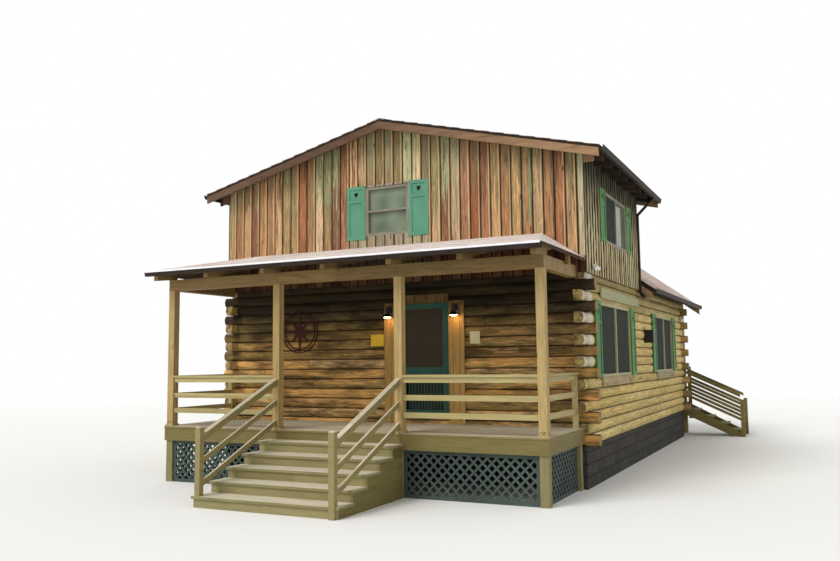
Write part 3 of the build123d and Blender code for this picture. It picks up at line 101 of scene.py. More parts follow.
def add(tree: Any, kind: str, *inputs: Any, **settings: Any) -> Any:
    """Add one node with its settings and links.

    Args:
        tree: the material's or world's node tree.
        kind: the node's type name after "ShaderNode", and its operation or blend type after a space.
        inputs: what the inputs in use are set to, in order: a value, a hex colour, a socket, or a node
            whose first output in use is linked.
        settings: attributes, or inputs by name; "stops" lays out a ramp as (place, hex) pairs.

    Returns:
        The new node.
    """
    kind, _, mode = kind.partition(" ")
    made = tree.nodes.new("ShaderNode" + kind)
    if kind == "Mix":
        made.data_type = "RGBA"
    if mode:
        setattr(made, "blend_type" if kind == "Mix" else "operation", mode)
    ramp = settings.pop("stops", ())
    while ramp and len(made.color_ramp.elements) < len(ramp):
        made.color_ramp.elements.new(0.5)
    for (place, colour), element in zip(ramp, made.color_ramp.elements if ramp else ()):
        element.position, element.color = place, linear(colour)
    named = {key: settings.pop(key) for key in tuple(settings) if not hasattr(made, key)}
    for key, value in settings.items():
        setattr(made, key, value)
    feeds = list(zip((socket for socket in made.inputs if socket.enabled), inputs))
    for socket, value in feeds + [(made.inputs[key], value) for key, value in named.items()]:
        if isinstance(value, bpy.types.Node):
            value = next(output for output in value.outputs if output.enabled)
        if isinstance(value, bpy.types.NodeSocket):
            tree.links.new(value, socket)
        elif value is not None:
            socket.default_value = linear(value) if isinstance(value, str) else value
    return made


def evenly(colours: Sequence[str]) -> list[tuple[float, str]]:
    """Space colours evenly over a ramp."""
    return [((index + 0.5) / len(colours), colour) for index, colour in enumerate(colours)]


def builder(owner: Any) -> Build:
    """Empty the node tree of a material or world.

    Args:
        owner: the material or world.

    Returns:
        What adds a node to its tree.
    """
    owner.use_nodes = True
    owner.node_tree.nodes.clear()
    return partial(add, owner.node_tree)


def by_axis(axis: Axis, along: float, across: float) -> Point:
    """Return a vector with one value along an axis and another on the other two."""
    return tuple(along if index == axis.value else across for index in range(3))


def streaks(node: Build, place: Any, scale: Point, chance: Any, **noise: float) -> Any:
    """Add noise drawn out by a scale and moved by each board's own chance."""
    moved = node("VectorMath MULTIPLY_ADD", place, scale, chance.outputs["Color"])
    return node("TexNoise", moved, Scale=1.0, **noise)


def knotted(node: Build, place: Any, scale: Point, ring: Point, colour: Any, knot: str) -> Any:
    """Lay knots over a colour.

    Args:
        node: adds a node to the material.
        place: socket of the coordinates.
        scale: how close the knots lie.
        ring: a knot's outer and inner radius and its strength.
        colour: the node whose colour is below them.
        knot: their colour.

    Returns:
        The node of the knotted colour.
    """
    outer, inner, most = ring
    spot = node("TexVoronoi", node("VectorMath MULTIPLY", place, scale), Scale=1.0)
    return node("Mix", node("MapRange", spot, outer, inner, 0.0, most), colour, knot)


# Finishes: what each one is made of is said by its class and its name. Each surface() takes and returns
# what Finish.surface() says.


@dataclass(frozen=True)
class Finish:
    """A surface finish: its colour and relief nodes, and the shader's own constant values."""

    name: str
    roughness: float = 0.7
    bump_mm: float = 0.6
    specular: float = 0.4

    def surface(self, node: Build, place: Any) -> tuple[Any, Any]:
        """Build the colour and the relief.

        Args:
            node: adds a node to the material.
            place: output socket of the object coordinates, in metres.

        Returns:
            The colour's node, and the height's node or None.
        """
        raise NotImplementedError

    def settle(self, shader: Any) -> None:
        """Set the constant values that only this finish has on its shader."""

    def make(self) -> bpy.types.Material:
        """Build the material, once.

        Returns:
            The material.
        """
        found = bpy.data.materials.get(self.name)
        if found:
            return found
        material = bpy.data.materials.new(self.name)
        node = builder(material)
        colour, height = self.surface(node, node("TexCoord").outputs["Object"])
        shader = node("BsdfPrincipled", Roughness=self.roughness,
                      **{"Specular IOR Level": self.specular, "Base Color": colour})
        if hasattr(colour, "color_ramp"):
            material.diffuse_color = colour.color_ramp.elements[0].color
        if height:
            bump = node("Bump", Strength=1.0, Distance=self.bump_mm / 1000, Height=height)
            material.node_tree.links.new(bump.outputs[0], shader.inputs["Normal"])
        self.settle(shader)
        node("OutputMaterial", Surface=shader)
        return material


@dataclass(frozen=True)
class SawnTimber(Finish):
    """Rough-sawn softwood under a weathered stain: each board its own tint, long fibres and a few knots."""

    tints: tuple[str, ...] = ("#8d7f55",)
    knot: str = "#3a2617"
    grain: Axis = Axis.Z
    board: Point = (0.195, 9.0, 9.0)
    offset: Point = (0.0, 0.0, 0.0)
    fibre_mm: float = 9.0
    depth: float = 0.45
    knot_size: float = 0.10
    seam: tuple[int, float] | None = None
    fade: tuple[int, float, float, str] | None = None
    flank: str = ""

    def surface(self, node: Build, place: Any) -> tuple[Any, Any]:
        """Tint by board, then fibres, a second tone along one axis, knots and seams; on the door casings
        the second tone is painted shade towards the top.
        """
        cell = node("VectorMath DIVIDE", node("VectorMath SUBTRACT", place, self.offset), self.board)
        chance = node("TexWhiteNoise", node("VectorMath FLOOR", cell), noise_dimensions="3D")
        tint = node("ValToRGB", chance, stops=evenly(self.tints))
        fibre = streaks(node, place, by_axis(self.grain, 1 / 0.35, 1000 / self.fibre_mm), chance,
                        Detail=5.0, Roughness=0.62, Distortion=0.7)
        streak = streaks(node, place, by_axis(self.grain, 1.2, 14.0), chance, Detail=3.0, Distortion=1.4)
        tone = node("Math MULTIPLY_ADD", fibre, 0.55, node("Math MULTIPLY_ADD", streak, 0.5, 0.0))
        shade = node("MapRange", tone, 0.36, 0.68, 1 - self.depth, 1.16)
        colour = node("Mix MULTIPLY", 1.0, tint, shade)
        # A second tone along one axis: a paler tone on the rake boards and window planks, painted shade on
        # the door casings.
        if self.fade:
            axis, clear, full, blend_tone = self.fade
            split = node("SeparateXYZ", place).outputs
            part = node("Math MULTIPLY", node("MapRange", split[axis], clear, full, 0.0, 1.5), streak)
            colour = node("Mix", part, colour, blend_tone)
        colour = knotted(node, place, by_axis(self.grain, 1 / 0.62, 1 / 0.15),
                         (self.knot_size, self.knot_size * 0.35, 0.85), colour, self.knot)
        height = tone
        if self.seam:
            axis, width = self.seam
            parts = node("SeparateXYZ", cell).outputs
            edge = node("Math PINGPONG", node("Math FRACT", parts[axis]), 0.5)
            share = width / self.board[axis] / 2
            line = node("MapRange", edge, share, share * 1.8, 0.12, 1.0)
            colour = node("Mix MULTIPLY", 1.0, colour, line)
            height = node("Math MULTIPLY_ADD", line, 4.0, height)
        if self.flank:
            facing = node("SeparateXYZ", node("NewGeometry").outputs["Normal"]).outputs
            above = node("Math GREATER_THAN", facing[2], 0.5)
            colour = node("Mix", above, node("Mix MULTIPLY", 1.0, self.flank, shade), colour)
        return colour, height


@dataclass(frozen=True)
class LiveEdgeBoard(Finish):
    """Upright boards under a worn stain: their own tints, bared wood, long streaks, a pale live edge,
    painted shade in the gaps and, where set, painted shade under the porch roof and under the eaves.
    """

    tints: tuple[str, ...] = ("#8a8058",)
    bared: tuple[str, ...] = ("#c9824f",)
    edge: str = "#d8ab6c"
    knot: str = "#43291a"
    across: Axis = Axis.X
    start: float = -3.7565
    pitch: float = 0.195
    edge_share: float = 0.80
    wear_top: float = 6.3
    wear_foot: float = 4.2
    wear: float = 0.30
    # Painted shade in the gaps between boards: where it starts and ends across a board, and its darkest
    # tone.
    gap_shade: Point = (0.055, 0.14, 0.10)
    # Painted shadow of the porch roof: its height at the wall, its tone, where its hips start and how
    # steeply they fall.
    porch_roof_shade: tuple[float, str, float, float] | None = None
    # Painted shade under the eaves: the height where it starts, the height where it is deepest, and the
    # least brightness there.
    eave_shade: Point | None = None

    def surface(self, node: Build, place: Any) -> tuple[Any, Any]:
        """Board by board tints, wear that grows downwards, streaks, knots, the live edge, and painted shade
        in the gaps, under the porch roof and under the eaves.
        """
        split = node("SeparateXYZ", place).outputs
        side = node("Math SUBTRACT", split[self.across.value], self.start)
        side = node("Math DIVIDE", side, self.pitch)
        board = node("Math FLOOR", side)
        part = node("Math FRACT", side)
        chance = node("TexWhiteNoise", board, noise_dimensions="1D")
        other = node("SeparateColor", chance.outputs["Color"]).outputs
        tint = node("ValToRGB", chance, stops=evenly(self.tints))
        bare = node("ValToRGB", other[0], stops=evenly(self.bared))
        streak = streaks(node, place, by_axis(Axis.Z, 0.95, 25.0), chance, Detail=4.0, Roughness=0.6,
                         Distortion=0.6)
        fall = node("MapRange", split[2], self.wear_top, self.wear_foot, -0.10, 0.12)
        worn = node("Math ADD", streak, node("Math MULTIPLY_ADD", other[1], 0.16, fall))
        share = node("MapRange", worn, 0.80 - self.wear, 0.85 - self.wear, 0.0, 0.9)
        colour = node("Mix", share, tint, bare)
        fibre = streaks(node, place, by_axis(Axis.Z, 2.6, 105.0), chance, Detail=5.0, Roughness=0.65,
                        Distortion=0.8)
        colour = node("Mix MULTIPLY", 1.0, colour, node("MapRange", fibre, 0.35, 0.65, 0.34, 1.50))
        wander = node("Math MULTIPLY_ADD", streak, 0.22, part)
        live = node("MapRange", wander, self.edge_share + 0.09, self.edge_share + 0.12, 0.0, 0.75)
        live = node("Math MULTIPLY", live, node("Math GREATER_THAN", other[2], 0.35))
        colour = node("Mix", live, colour, self.edge)
        colour = knotted(node, place, by_axis(Axis.Z, 1 / 0.55, 1 / 0.13), (0.13, 0.05, 0.85), colour,
                         self.knot)
        # Painted shade: each board darkens towards the gaps at both its edges, where shade falls between
        # boards.
        shy = node("Math PINGPONG", side, 0.5)
        near, far, deep = self.gap_shade
        colour = node("Mix MULTIPLY", 1.0, colour, node("MapRange", shy, near, far, deep, 1.0))
        # Painted shadow: below the porch roof's line, which falls along its hips, the boards are darkened.
        if self.porch_roof_shade:
            height, dark, level, drop = self.porch_roof_shade
            out = node("Math SUBTRACT", node("Math ABSOLUTE", split[0]), level)
            line = node("Math MULTIPLY_ADD", node("Math MAXIMUM", out, 0.0), drop, split[2])
            under = node("MapRange", line, height + 0.01, height - 0.01, 0.0, 1.0)
            colour = node("Mix MULTIPLY", under, colour, dark)
        # Painted shade: the boards darken towards the top, in the shadow of the eaves.
        if self.eave_shade:
            low, high, least = self.eave_shade
            fade = node("MapRange", split[2], low, high, 1.0, least)
            colour = node("Mix MULTIPLY", 1.0, colour, fade)
        return colour, fibre


@dataclass(frozen=True)
class StainedLog(Finish):
    """Milled logs under a worn stain: dark joints, bared patches, checks, butt joints, ringed ends, and
    painted light and shade by height and on each log's top.
    """

    tints: tuple[str, ...] = ("#6b4a2b",)
    bared: tuple[str, ...] = ("#b98450",)
    joint: str = "#22170e"
    end_grain: str = "#9a7c54"
    grain: Axis = Axis.X
    base: float = 0.698
    course: float = 0.1845
    log_length: float = 3.1
    wear: float = 0.30
    # dark_top, dark_foot and dark set a painted shade that deepens towards the top of the wall; the same
    # heights move more bared wood lower down.
    dark_top: float = 3.3
    dark_foot: float = 1.9
    dark: float = 0.0
    patch: float = 1.6
    heart: float = 0.0825
    soft: float = 0.10
    soot: float = 0.0
    tip: tuple[float, float, str] | None = None

    def surface(self, node: Build, place: Any) -> tuple[Any, Any]:
        """Courses from height, logs from length, then wear with painted light (a highlight on each log's
        top, more light lower down, shade towards the wall's top), grain, checks, knots and ends.
        """
        split = node("SeparateXYZ", place).outputs
        rows = node("Math DIVIDE", node("Math SUBTRACT", split[2], self.base), self.course)
        row = node("Math FLOOR", rows)
        part = node("Math FRACT", rows)
        slip = node("TexWhiteNoise", row, noise_dimensions="1D")
        moved = node("Math ADD", node("Math DIVIDE", split[self.grain.value], self.log_length), slip)
        pair = node("CombineXYZ", node("Math FLOOR", moved), row)
        chance = node("TexWhiteNoise", pair, noise_dimensions="2D")
        other = node("SeparateColor", chance.outputs["Color"]).outputs
        tint = node("ValToRGB", chance, stops=evenly(self.tints))
        bare = node("ValToRGB", other[0], stops=evenly(self.bared))
        fibre = streaks(node, place, by_axis(self.grain, 2.4, 70.0), chance, Detail=6.0, Roughness=0.62,
                        Distortion=1.1)
        streak = streaks(node, place, by_axis(self.grain, self.patch, 12.0), chance, Detail=5.0,
                         Roughness=0.62, Distortion=1.6)
        dome = node("Math PINGPONG", part, 0.5)
        # Bared patches lean to each log's upper half: wear, and a painted highlight where light falls on
        # the log's top.
        high = node("MapRange", part, 0.12, 0.85, -0.07, 0.07)
        luck = node("MapRange", other[1], 0.0, 1.0, -0.10, 0.10)
        worn = node("Math ADD", node("Math ADD", streak, high), luck)
        # More bared wood lower down: real wear, and painted light where the lower wall is brighter.
        low_wear_and_light = node("MapRange", split[2], self.dark_top, self.dark_foot, -0.16, 0.03)
        worn = node("Math ADD", worn, low_wear_and_light)
        share = node("MapRange", worn, 0.85 - self.soft / 2 - self.wear, 0.85 + self.soft / 2 - self.wear,
                     0.0, 0.92)
        colour = node("Mix", share, tint, bare)
        colour = node("Mix MULTIPLY", 1.0, colour, node("MapRange", fibre, 0.35, 0.65, 0.50, 1.34))
        # Painted shade: the wall darkens towards the top, under the porch roof and the eaves.
        painted_top_shade = node("MapRange", split[2], self.dark_foot, self.dark_top, 1.0, 1.0 - self.dark)
        colour = node("Mix MULTIPLY", 1.0, colour, painted_top_shade)
        if self.soot:
            moved_by = node("VectorMath MULTIPLY", place, by_axis(self.grain, 1.1, 4.2))
            cloud = node("TexNoise", moved_by, Scale=1.0, Detail=4.0, Roughness=0.6)
            cloud = node("MapRange", cloud, 0.40, 0.56, 1.0 - self.soot, 1.12)
            colour = node("Mix MULTIPLY", 1.0, colour, cloud)
        if self.tip:
            end_at, foot, blend_tone = self.tip
            near = node("MapRange", split[self.grain.value], end_at + 0.08, end_at - 0.08, 0.0, 1.5)
            near = node("Math MULTIPLY", near, node("MapRange", split[2], foot, foot + 0.2, 0.0, 1.0))
            near = node("Math MULTIPLY", near, streak)
            near = node("Math MULTIPLY", near, node("Math GREATER_THAN", split[0], 0.0))
            colour = node("Mix", near, colour, blend_tone)
        colour = knotted(node, place, by_axis(self.grain, 1 / 0.7, 1 / 0.17), (0.15, 0.05, 0.8), colour,
                         self.joint)
        colour = node("Mix", node("MapRange", dome, 0.02, 0.10, 0.9, 0.0), colour, self.joint)
        butt = node("Math PINGPONG", node("Math FRACT", moved), 0.5)
        cut = node("MapRange", butt, 0.0008, 0.0018, 0.8, 0.0)
        colour = node("Mix", cut, colour, self.joint)
        facing = node("SeparateXYZ", node("NewGeometry").outputs["Normal"]).outputs
        end = node("Math GREATER_THAN", node("Math ABSOLUTE", facing[self.grain.value]), 0.9)
        crack = node("TexVoronoi", place, feature="DISTANCE_TO_EDGE", Scale=19.0)
        crack = node("MapRange", crack, 0.0, 0.05, 0.45, 1.0)
        level = node("Math MULTIPLY_ADD", part, self.course, -self.course / 2)
        off = node("Math SUBTRACT", node("Math ABSOLUTE", split[1 - self.grain.value]), self.heart)
        radius = node("VectorMath LENGTH", node("CombineXYZ", level, off))
        year = node("MapRange", node("Math PINGPONG", radius, 0.007), 0.0, 0.007, 0.72, 1.1)
        rings = node("Math MULTIPLY", year, node("MapRange", radius, 0.055, 0.1, 1.0, 0.55))
        pale = node("Mix MULTIPLY", 1.0, self.end_grain, node("Math MULTIPLY", rings, crack))
        stain = node("MapRange", node("TexNoise", place, Scale=9.0, Detail=4.0), 0.42, 0.7, 0.0, 0.8)
        colour = node("Mix", end, colour, node("Mix", stain, pale, tint))
        height = node("Math SUBTRACT", fibre, cut)
        return colour, height


@dataclass(frozen=True)
class PaintedWood(Finish):
    """Brushed exterior paint on wood: faint strokes, dulled patches and chips along the edges."""

    paint: str = "#2f7a5c"
    dull: str = "#25604a"
    bare: str = "#8a7a5a"
    grain: Axis = Axis.Z
    chips: float = 0.74
    beyond: tuple[float, str] | None = None

    def surface(self, node: Build, place: Any) -> tuple[Any, Any]:
        """Two tones of paint by large patches, strokes along the grain, and chips."""
        along = node("VectorMath MULTIPLY", place, by_axis(self.grain, 3.0, 160.0))
        stroke = node("TexNoise", along, Scale=1.0, Detail=3.0)
        mix = node("Math MULTIPLY_ADD", stroke, 0.5, node("TexNoise", place, Scale=2.3, Detail=4.0))
        colour = node("Mix", node("MapRange", mix, 0.55, 0.95), self.paint, self.dull)
        if self.beyond:
            split = node("SeparateXYZ", place).outputs
            right = node("Math GREATER_THAN", split[0], self.beyond[0])
            colour = node("Mix", right, colour, self.beyond[1])
        grit = node("TexNoise", place, Scale=34.0, Detail=5.0, Roughness=0.7)
        chip = node("MapRange", grit, self.chips, self.chips + 0.03, 0.0, 0.8)
        colour = node("Mix", chip, colour, self.bare)
        return colour, stroke


@dataclass(frozen=True)
class MineralShingle(Finish):
    """Asphalt shingles with mineral granules: each tab its own tint, speckle and rain streaks."""

    tints: tuple[str, ...] = ("#a98f84", "#b79d92", "#c3aba0")
    stain: str = "#6f5d55"
    soffit: str = ""
    fall: Axis = Axis.X
    start: float = 0.0
    along: float = 0.0
    step: float = 0.139
    width: float = 0.305

    def surface(self, node: Build, place: Any) -> tuple[Any, Any]:
        """Tint by tab, granules a few millimetres wide so that they show, then streaks."""
        split = node("SeparateXYZ", place).outputs
        down = node("Math SUBTRACT", node("Math ABSOLUTE", split[self.fall.value]), self.start)
        row = node("Math FLOOR", node("Math DIVIDE", down, self.step))
        odd = node("Math PINGPONG", row, 1.0)
        side = node("Math SUBTRACT", split[1 - self.fall.value], self.along)
        side = node("Math MULTIPLY_ADD", odd, 0.5, node("Math DIVIDE", side, self.width))
        pair = node("CombineXYZ", row, node("Math FLOOR", side))
        chance = node("TexWhiteNoise", pair, noise_dimensions="2D")
        tint = node("ValToRGB", chance, stops=evenly(self.tints))
        granule = node("TexNoise", place, Scale=210.0, Detail=2.0)
        colour = node("Mix MULTIPLY", 1.0, tint, node("MapRange", granule, 0.3, 0.7, 0.68, 1.25))
        patch = node("TexNoise", place, Scale=0.9, Detail=5.0, Roughness=0.65)
        colour = node("Mix", node("MapRange", patch, 0.5, 0.78, 0.0, 0.45), colour, self.stain)
        if self.soffit:
            facing = node("SeparateXYZ", node("NewGeometry").outputs["Normal"]).outputs
            above = node("Math GREATER_THAN", facing[2], 0.2)
            fibre = node("VectorMath MULTIPLY", place, (1.5, 60.0, 60.0))
            tone = node("MapRange", node("TexNoise", fibre, Scale=1.0, Detail=4.0), 0.3, 0.7, 0.6, 1.3)
            colour = node("Mix", above, node("Mix MULTIPLY", 1.0, self.soffit, tone), colour)
        return colour, granule


@dataclass(frozen=True)
class BakedEnamel(Finish):
    """Roll-formed or pressed metal under baked enamel: an even colour, a low gloss, dust and marks."""

    paint: str = "#3b2a22"
    dust: str = "#6a5b4d"
    metallic: float = 0.0

    def surface(self, node: Build, place: Any) -> tuple[Any, Any]:
        """The enamel's colour under patches of dust."""
        patch = node("TexNoise", place, Scale=6.0, Detail=6.0, Roughness=0.6)
        colour = node("Mix", node("MapRange", patch, 0.45, 0.8, 0.0, 0.6), self.paint, self.dust)
        return colour, patch

    def settle(self, shader: Any) -> None:
        """Bare metal shows through on iron and bolts."""
        shader.inputs["Metallic"].default_value = self.metallic


@dataclass(frozen=True)
class BlockMasonry(Finish):
    """Painted concrete blocks, 400 by 200 mm with 10 mm joints."""

    block: str = "#3d3b37"
    mortar: str = "#262421"

    def surface(self, node: Build, place: Any) -> tuple[Any, Any]:
        """Running bond over the wall's length and height."""
        split = node("SeparateXYZ", place).outputs
        flat = node("CombineXYZ", node("Math ADD", split[0], split[1]), split[2])
        bond = node("TexBrick", flat, Scale=1.0, Color1=self.block, Color2="#4a4741", Mortar=self.mortar,
                    **{"Mortar Size": 0.01, "Brick Width": 0.4, "Row Height": 0.2})
        rough = node("TexNoise", place, Scale=45.0, Detail=5.0)
        colour = node("Mix MULTIPLY", 1.0, bond, node("MapRange", rough, 0.3, 0.7, 0.7, 1.2))
        height = node("Math SUBTRACT", rough, bond.outputs["Fac"])
        return colour, height


@dataclass(frozen=True)
class WindowPane(Finish):
    """Float glass over a dark room: a smooth, dark sheet that mirrors what is round it, with a painted
    reflection of foliage in its colour.
    """

    tint: str = "#5d6a57"
    # The paler green of the painted foliage reflection.
    painted_reflection_tone: str = "#94a488"
    clear: float = 0.25

    def surface(self, node: Build, place: Any) -> tuple[Any, Any]:
        """A dark tint mottled with a paler green painted reflection of foliage."""
        reflection_mottle = node("TexNoise", place, Scale=2.0, Detail=1.0)
        colour = node("ValToRGB", reflection_mottle, stops=[(0.3, self.tint), (0.7, self.painted_reflection_tone)])
        return colour, reflection_mottle

    def settle(self, shader: Any) -> None:
        """Glass lets some light through and has glass's index."""
        shader.inputs["IOR"].default_value = 1.5
        shader.inputs["Transmission Weight"].default_value = self.clear


@dataclass(frozen=True)
class InsectScreen(Finish):
    """Woven fibreglass screen: its 1.4 mm mesh is drawn 6 mm wide so that it shows as a fine check."""

    yarn: str = "#2b302e"
    hole: str = "#4a504c"
    pitch_mm: float = 6.0
    across: Axis = Axis.X

    def surface(self, node: Build, place: Any) -> tuple[Any, Any]:
        """Yarns both ways over the holes."""
        split = node("SeparateXYZ", place).outputs
        size = self.pitch_mm / 1000
        side = node("Math FRACT", node("Math DIVIDE", split[self.across.value], size))
        up = node("Math FRACT", node("Math DIVIDE", split[2], size))
        least = node("Math MINIMUM", side, up)
        colour = node("Mix", node("MapRange", least, 0.25, 0.35), self.yarn, self.hole)
        return colour, least


@dataclass(frozen=True)
class LitGlass(Finish):
    """Frosted lamp glass over a warm bulb that is switched on."""

    glow: str = "#ffc98a"
    strength: float = 6.0

    def surface(self, node: Build, place: Any) -> tuple[Any, Any]:
        """A warm white with a slight cloudiness."""
        cloud = node("TexNoise", place, Scale=30.0)
        colour = node("ValToRGB", cloud, stops=[(0.3, "#fff0d8"), (0.7, self.glow)])
        return colour, None

    def settle(self, shader: Any) -> None:
        """The bulb's own light."""
        shader.inputs["Emission Color"].default_value = linear(self.glow)
        shader.inputs["Emission Strength"].default_value = self.strength


SIDING_TINTS = ("#847650", "#8f946b", "#6f563d", "#abaf86", "#8f885e", "#7a4431", "#96946a", "#94724b",
                "#9fa37b", "#7b7553", "#8a5e40")
BARED_TINTS = ("#bd8658", "#935236", "#e4c196", "#a76b47", "#cba06f", "#7c4230", "#d8ad7c")
SIDE_TINTS = ("#98906a", "#a8a074", "#837a55", "#b3aa7c", "#8c7854")
SIDE_BARED = ("#c4b88f", "#a98f67", "#cfc297")
POST_TINTS = ("#b29863", "#baa16d", "#aa905b")
RAIL_TINTS = ("#aa9c6a", "#b3a573", "#a09261")
BEAM_TINTS = ("#8f7446", "#9a7f50", "#846b40")
RIM_TINTS = ("#75693c", "#7e7243", "#6c6137")
STEP_TINTS = ("#8a8157", "#90875d", "#847b52")
DECK_TINTS = ("#b8ad92", "#c3b89d", "#afa48a", "#c8bea5")
TREAD_TINTS = ("#c6bca3", "#cdc4ac", "#bfb59b")

# Both front finishes paint the porch roof's shadow on the boards below its line.
FRONT_SIDING = LiveEdgeBoard(
    "front_boards_worn_stain", 0.8, 1.2, 0.2, SIDING_TINTS, BARED_TINTS, wear=0.25, edge="#e6c08c",
    porch_roof_shade=(4.25, "#7d6a62", 3.025, 0.66))
BARE_SIDING = LiveEdgeBoard(
    "sill_boards_bare_grey", 0.85, 1.2, 0.15, ("#8f8670", "#9b927b", "#857a62", "#a49a82"),
    ("#b8a888", "#a08a68"), wear=0.2, edge="#c2b596", porch_roof_shade=(4.25, "#7d6a62", 3.025, 0.66))


def side_siding(name: str, axis: Axis) -> Finish:
    """The side walls' boards: olive and brown with pale live edges, painted shade in their gaps and under
    the eaves.

    Args:
        name: the material's name.
        axis: the axis that the boards are counted along.

    Returns:
        The finish.
    """
    start, pitch = (-0.036, 0.18) if axis is Axis.Y else (-3.7565, 0.195)
    return LiveEdgeBoard(name, 0.82, 1.2, 0.2, tints=SIDE_TINTS, bared=SIDE_BARED, edge="#d2c296",
                         gap_shade=(0.13, 0.23, 0.07), eave_shade=(4.3, 5.35, 0.22),
                         across=axis, start=start, pitch=pitch, wear=0.24, edge_share=0.70)


def solid_stain(name: str, tints: tuple[str, ...], grain: Axis, depth: float = 0.22) -> Finish:
    """Planed lumber under a solid olive-tan stain: calm boards with a faint grain.

    Args:
        name: the material's name.
        tints: what the boards are stained.
        grain: the axis of the grain.
        depth: how far the grain darkens the stain.

    Returns:
        The finish.
    """
    board = [0.37, 0.37, 0.31]
    board[grain.value] = 4.7
    return SawnTimber(f"{name}_{grain.name.lower()}", 0.6, 0.35, 0.3, tints=tints, board=tuple(board),
                      grain=grain, fibre_mm=13, depth=depth, knot_size=0.05, knot="#5c4a2c")


DECK_BOARD = SawnTimber(
    "deck_board_greyed_x", 0.72, 0.5, 0.3, DECK_TINTS, grain=Axis.X, board=(3.1, 0.143, 50), fibre_mm=12,
    depth=0.3, knot_size=0.05, flank="#7e7448")
TREAD_BOARD = SawnTimber(
    "tread_board_pale_grey", 0.75, 0.5, 0.25, TREAD_TINTS, board=(3.1, 50, 50), offset=(-1.5, -25, -25),
    grain=Axis.X, fibre_mm=12, depth=0.25, knot_size=0.04, flank="#8a8158")
# The casing darkens towards its top, above the lamps: painted shade under the porch roof.
CASING = SawnTimber(
    "casing_plank_olive_stain", 0.7, 0.7, 0.25, ("#b48c4c", "#bd9554", "#a98145", "#c49d5c"),
    board=(0.14, 50, 50), offset=(-0.089, 0, 0), grain=Axis.Z, seam=(0, 0.004), depth=0.4,
    fade=(2, 2.85, 3.2, "#3f2c19"))
# Each log finish paints shade towards the top of its wall, under the porch roof at the front and under the
# roofs at the sides and rear.
FRONT_LOG = StainedLog(
    "front_log_dark_stain", 0.75, 1.8, 0.2, ("#a98f58", "#b99b5c", "#8f7242", "#c4a870", "#aa8b50"),
    ("#e8b068", "#dfa962", "#edc48a", "#d29a56"), wear=0.32, dark=0.92, soot=0.58, dark_top=3.15,
    dark_foot=2.15)
REAR_LOG = StainedLog(
    "rear_log_stain", 0.72, 1.6, 0.25, ("#8f7a4b", "#9d8554", "#857046"), ("#c9a86c", "#bf9a62"),
    joint="#33261a", wear=0.27, dark=0.35, dark_top=3.65, dark_foot=2.9, heart=10.0125)
SIDE_LOG = StainedLog(
    "side_log_light_stain", 0.7, 1.6, 0.25, ("#bbaa66", "#cab56e", "#ae9b58", "#d2be7a", "#bea75c"),
    ("#e8c884", "#e2b972", "#dfcb90"), joint="#3a2b1a", grain=Axis.Y, log_length=2.3, end_grain="#7d6140",
    tip=(0.46, 1.85, "#d9d3c2"), soft=0.34, wear=0.28, dark=0.55, dark_top=3.7, dark_foot=2.9, patch=1.0,
    heart=3.649)
SHINGLES = MineralShingle(
    "roof_shingle_rose_granules", 0.92, 0.8, 0.15, ("#c0aaa0", "#c9b5aa", "#d1c0b6"), "#8d7b72",
    soffit="#33281f")
PORCH_SHINGLES = MineralShingle(
    "porch_shingle_pale_granules", 0.92, 0.8, 0.15, ("#cfc1b9", "#d9cdc5", "#e2d8d1"), "#a89a92",
    soffit="#4a3b2a")
TRIM_METAL = BakedEnamel("gutter_brown_enamel", 0.6, 0.2, 0.25, "#271d16", "#3f332a")
# Near-white: on the porch gutter's lip a painted reflection of the sky; the gutter hangers and hip drip
# edges share it.
PALE_METAL_AND_REFLECTION = BakedEnamel("drip_edge_pale_metal", 0.35, 0.1, 0.5, "#f2f4fa", "#cfd1d8")
BLACK_METAL = BakedEnamel("lamp_black_enamel", 0.4, 0.2, 0.4, "#121110", "#2a2723")
SHOE_METAL = BakedEnamel("post_shoe_dark_steel", 0.6, 0.2, 0.4, "#3a352d", "#5d523f", metallic=0.4)
IRON = BakedEnamel("forged_iron_rusted", 0.75, 0.8, 0.3, "#431a17", "#6b2a22", metallic=0.1)
BOLT_STEEL = BakedEnamel("bolt_galvanised_weathered", 0.55, 0.2, 0.5, "#4d4a44", "#7a6a55", metallic=0.6)
RAKE_WOOD = SawnTimber(
    "rake_board_rose_brown", 0.8, 0.8, 0.2, ("#644a3a", "#705543", "#7a5e47"), grain=Axis.X,
    board=(3.0, 50, 50), fibre_mm=14, depth=0.45, knot_size=0.08, fade=(0, -0.5, 5.0, "#b08e69"))
DARK_TIMBER = SawnTimber(
    "eave_timber_dark", 0.8, 0.6, 0.25, ("#3b3026", "#45382b", "#332a22"), grain=Axis.X,
    board=(3.0, 0.61, 50), depth=0.35)
PLANK_WOOD = SawnTimber(
    "window_plank_mottled", 0.8, 1.2, 0.2, ("#a99a78", "#a39a80", "#b39f7a"), grain=Axis.Y,
    board=(50, 1.7, 0.6), fibre_mm=16, depth=0.5, knot_size=0.09, fade=(2, 2.6, 3.2, "#a3a47f"))
FLOOR_WOOD = SawnTimber(
    "floor_board_oiled", 0.5, 0.3, 0.4, ("#8a6238", "#966c40", "#7d5830"), grain=Axis.Y,
    board=(0.14, 2.4, 50), seam=(0, 0.003), depth=0.3)
UNDERBOARD = SawnTimber(
    "underboard_in_shadow", 0.9, 0.4, 0.1, ("#2e2418", "#3a2e1f", "#33291d"), board=(0.195, 50, 50),
    offset=(-3.7, -25, -25))
LATTICE = PaintedWood("lattice_grey_green", 0.6, 0.3, 0.3, "#48554f", "#39443f", "#6d6552")
FRONT_SHUTTER = PaintedWood("shutter_teal_green", 0.45, 0.25, 0.35, "#5a9678", "#4e876b", chips=0.84)
SIDE_SHUTTER = PaintedWood("shutter_leaf_green", 0.5, 0.25, 0.35, "#45803d", "#386f32", chips=0.84)
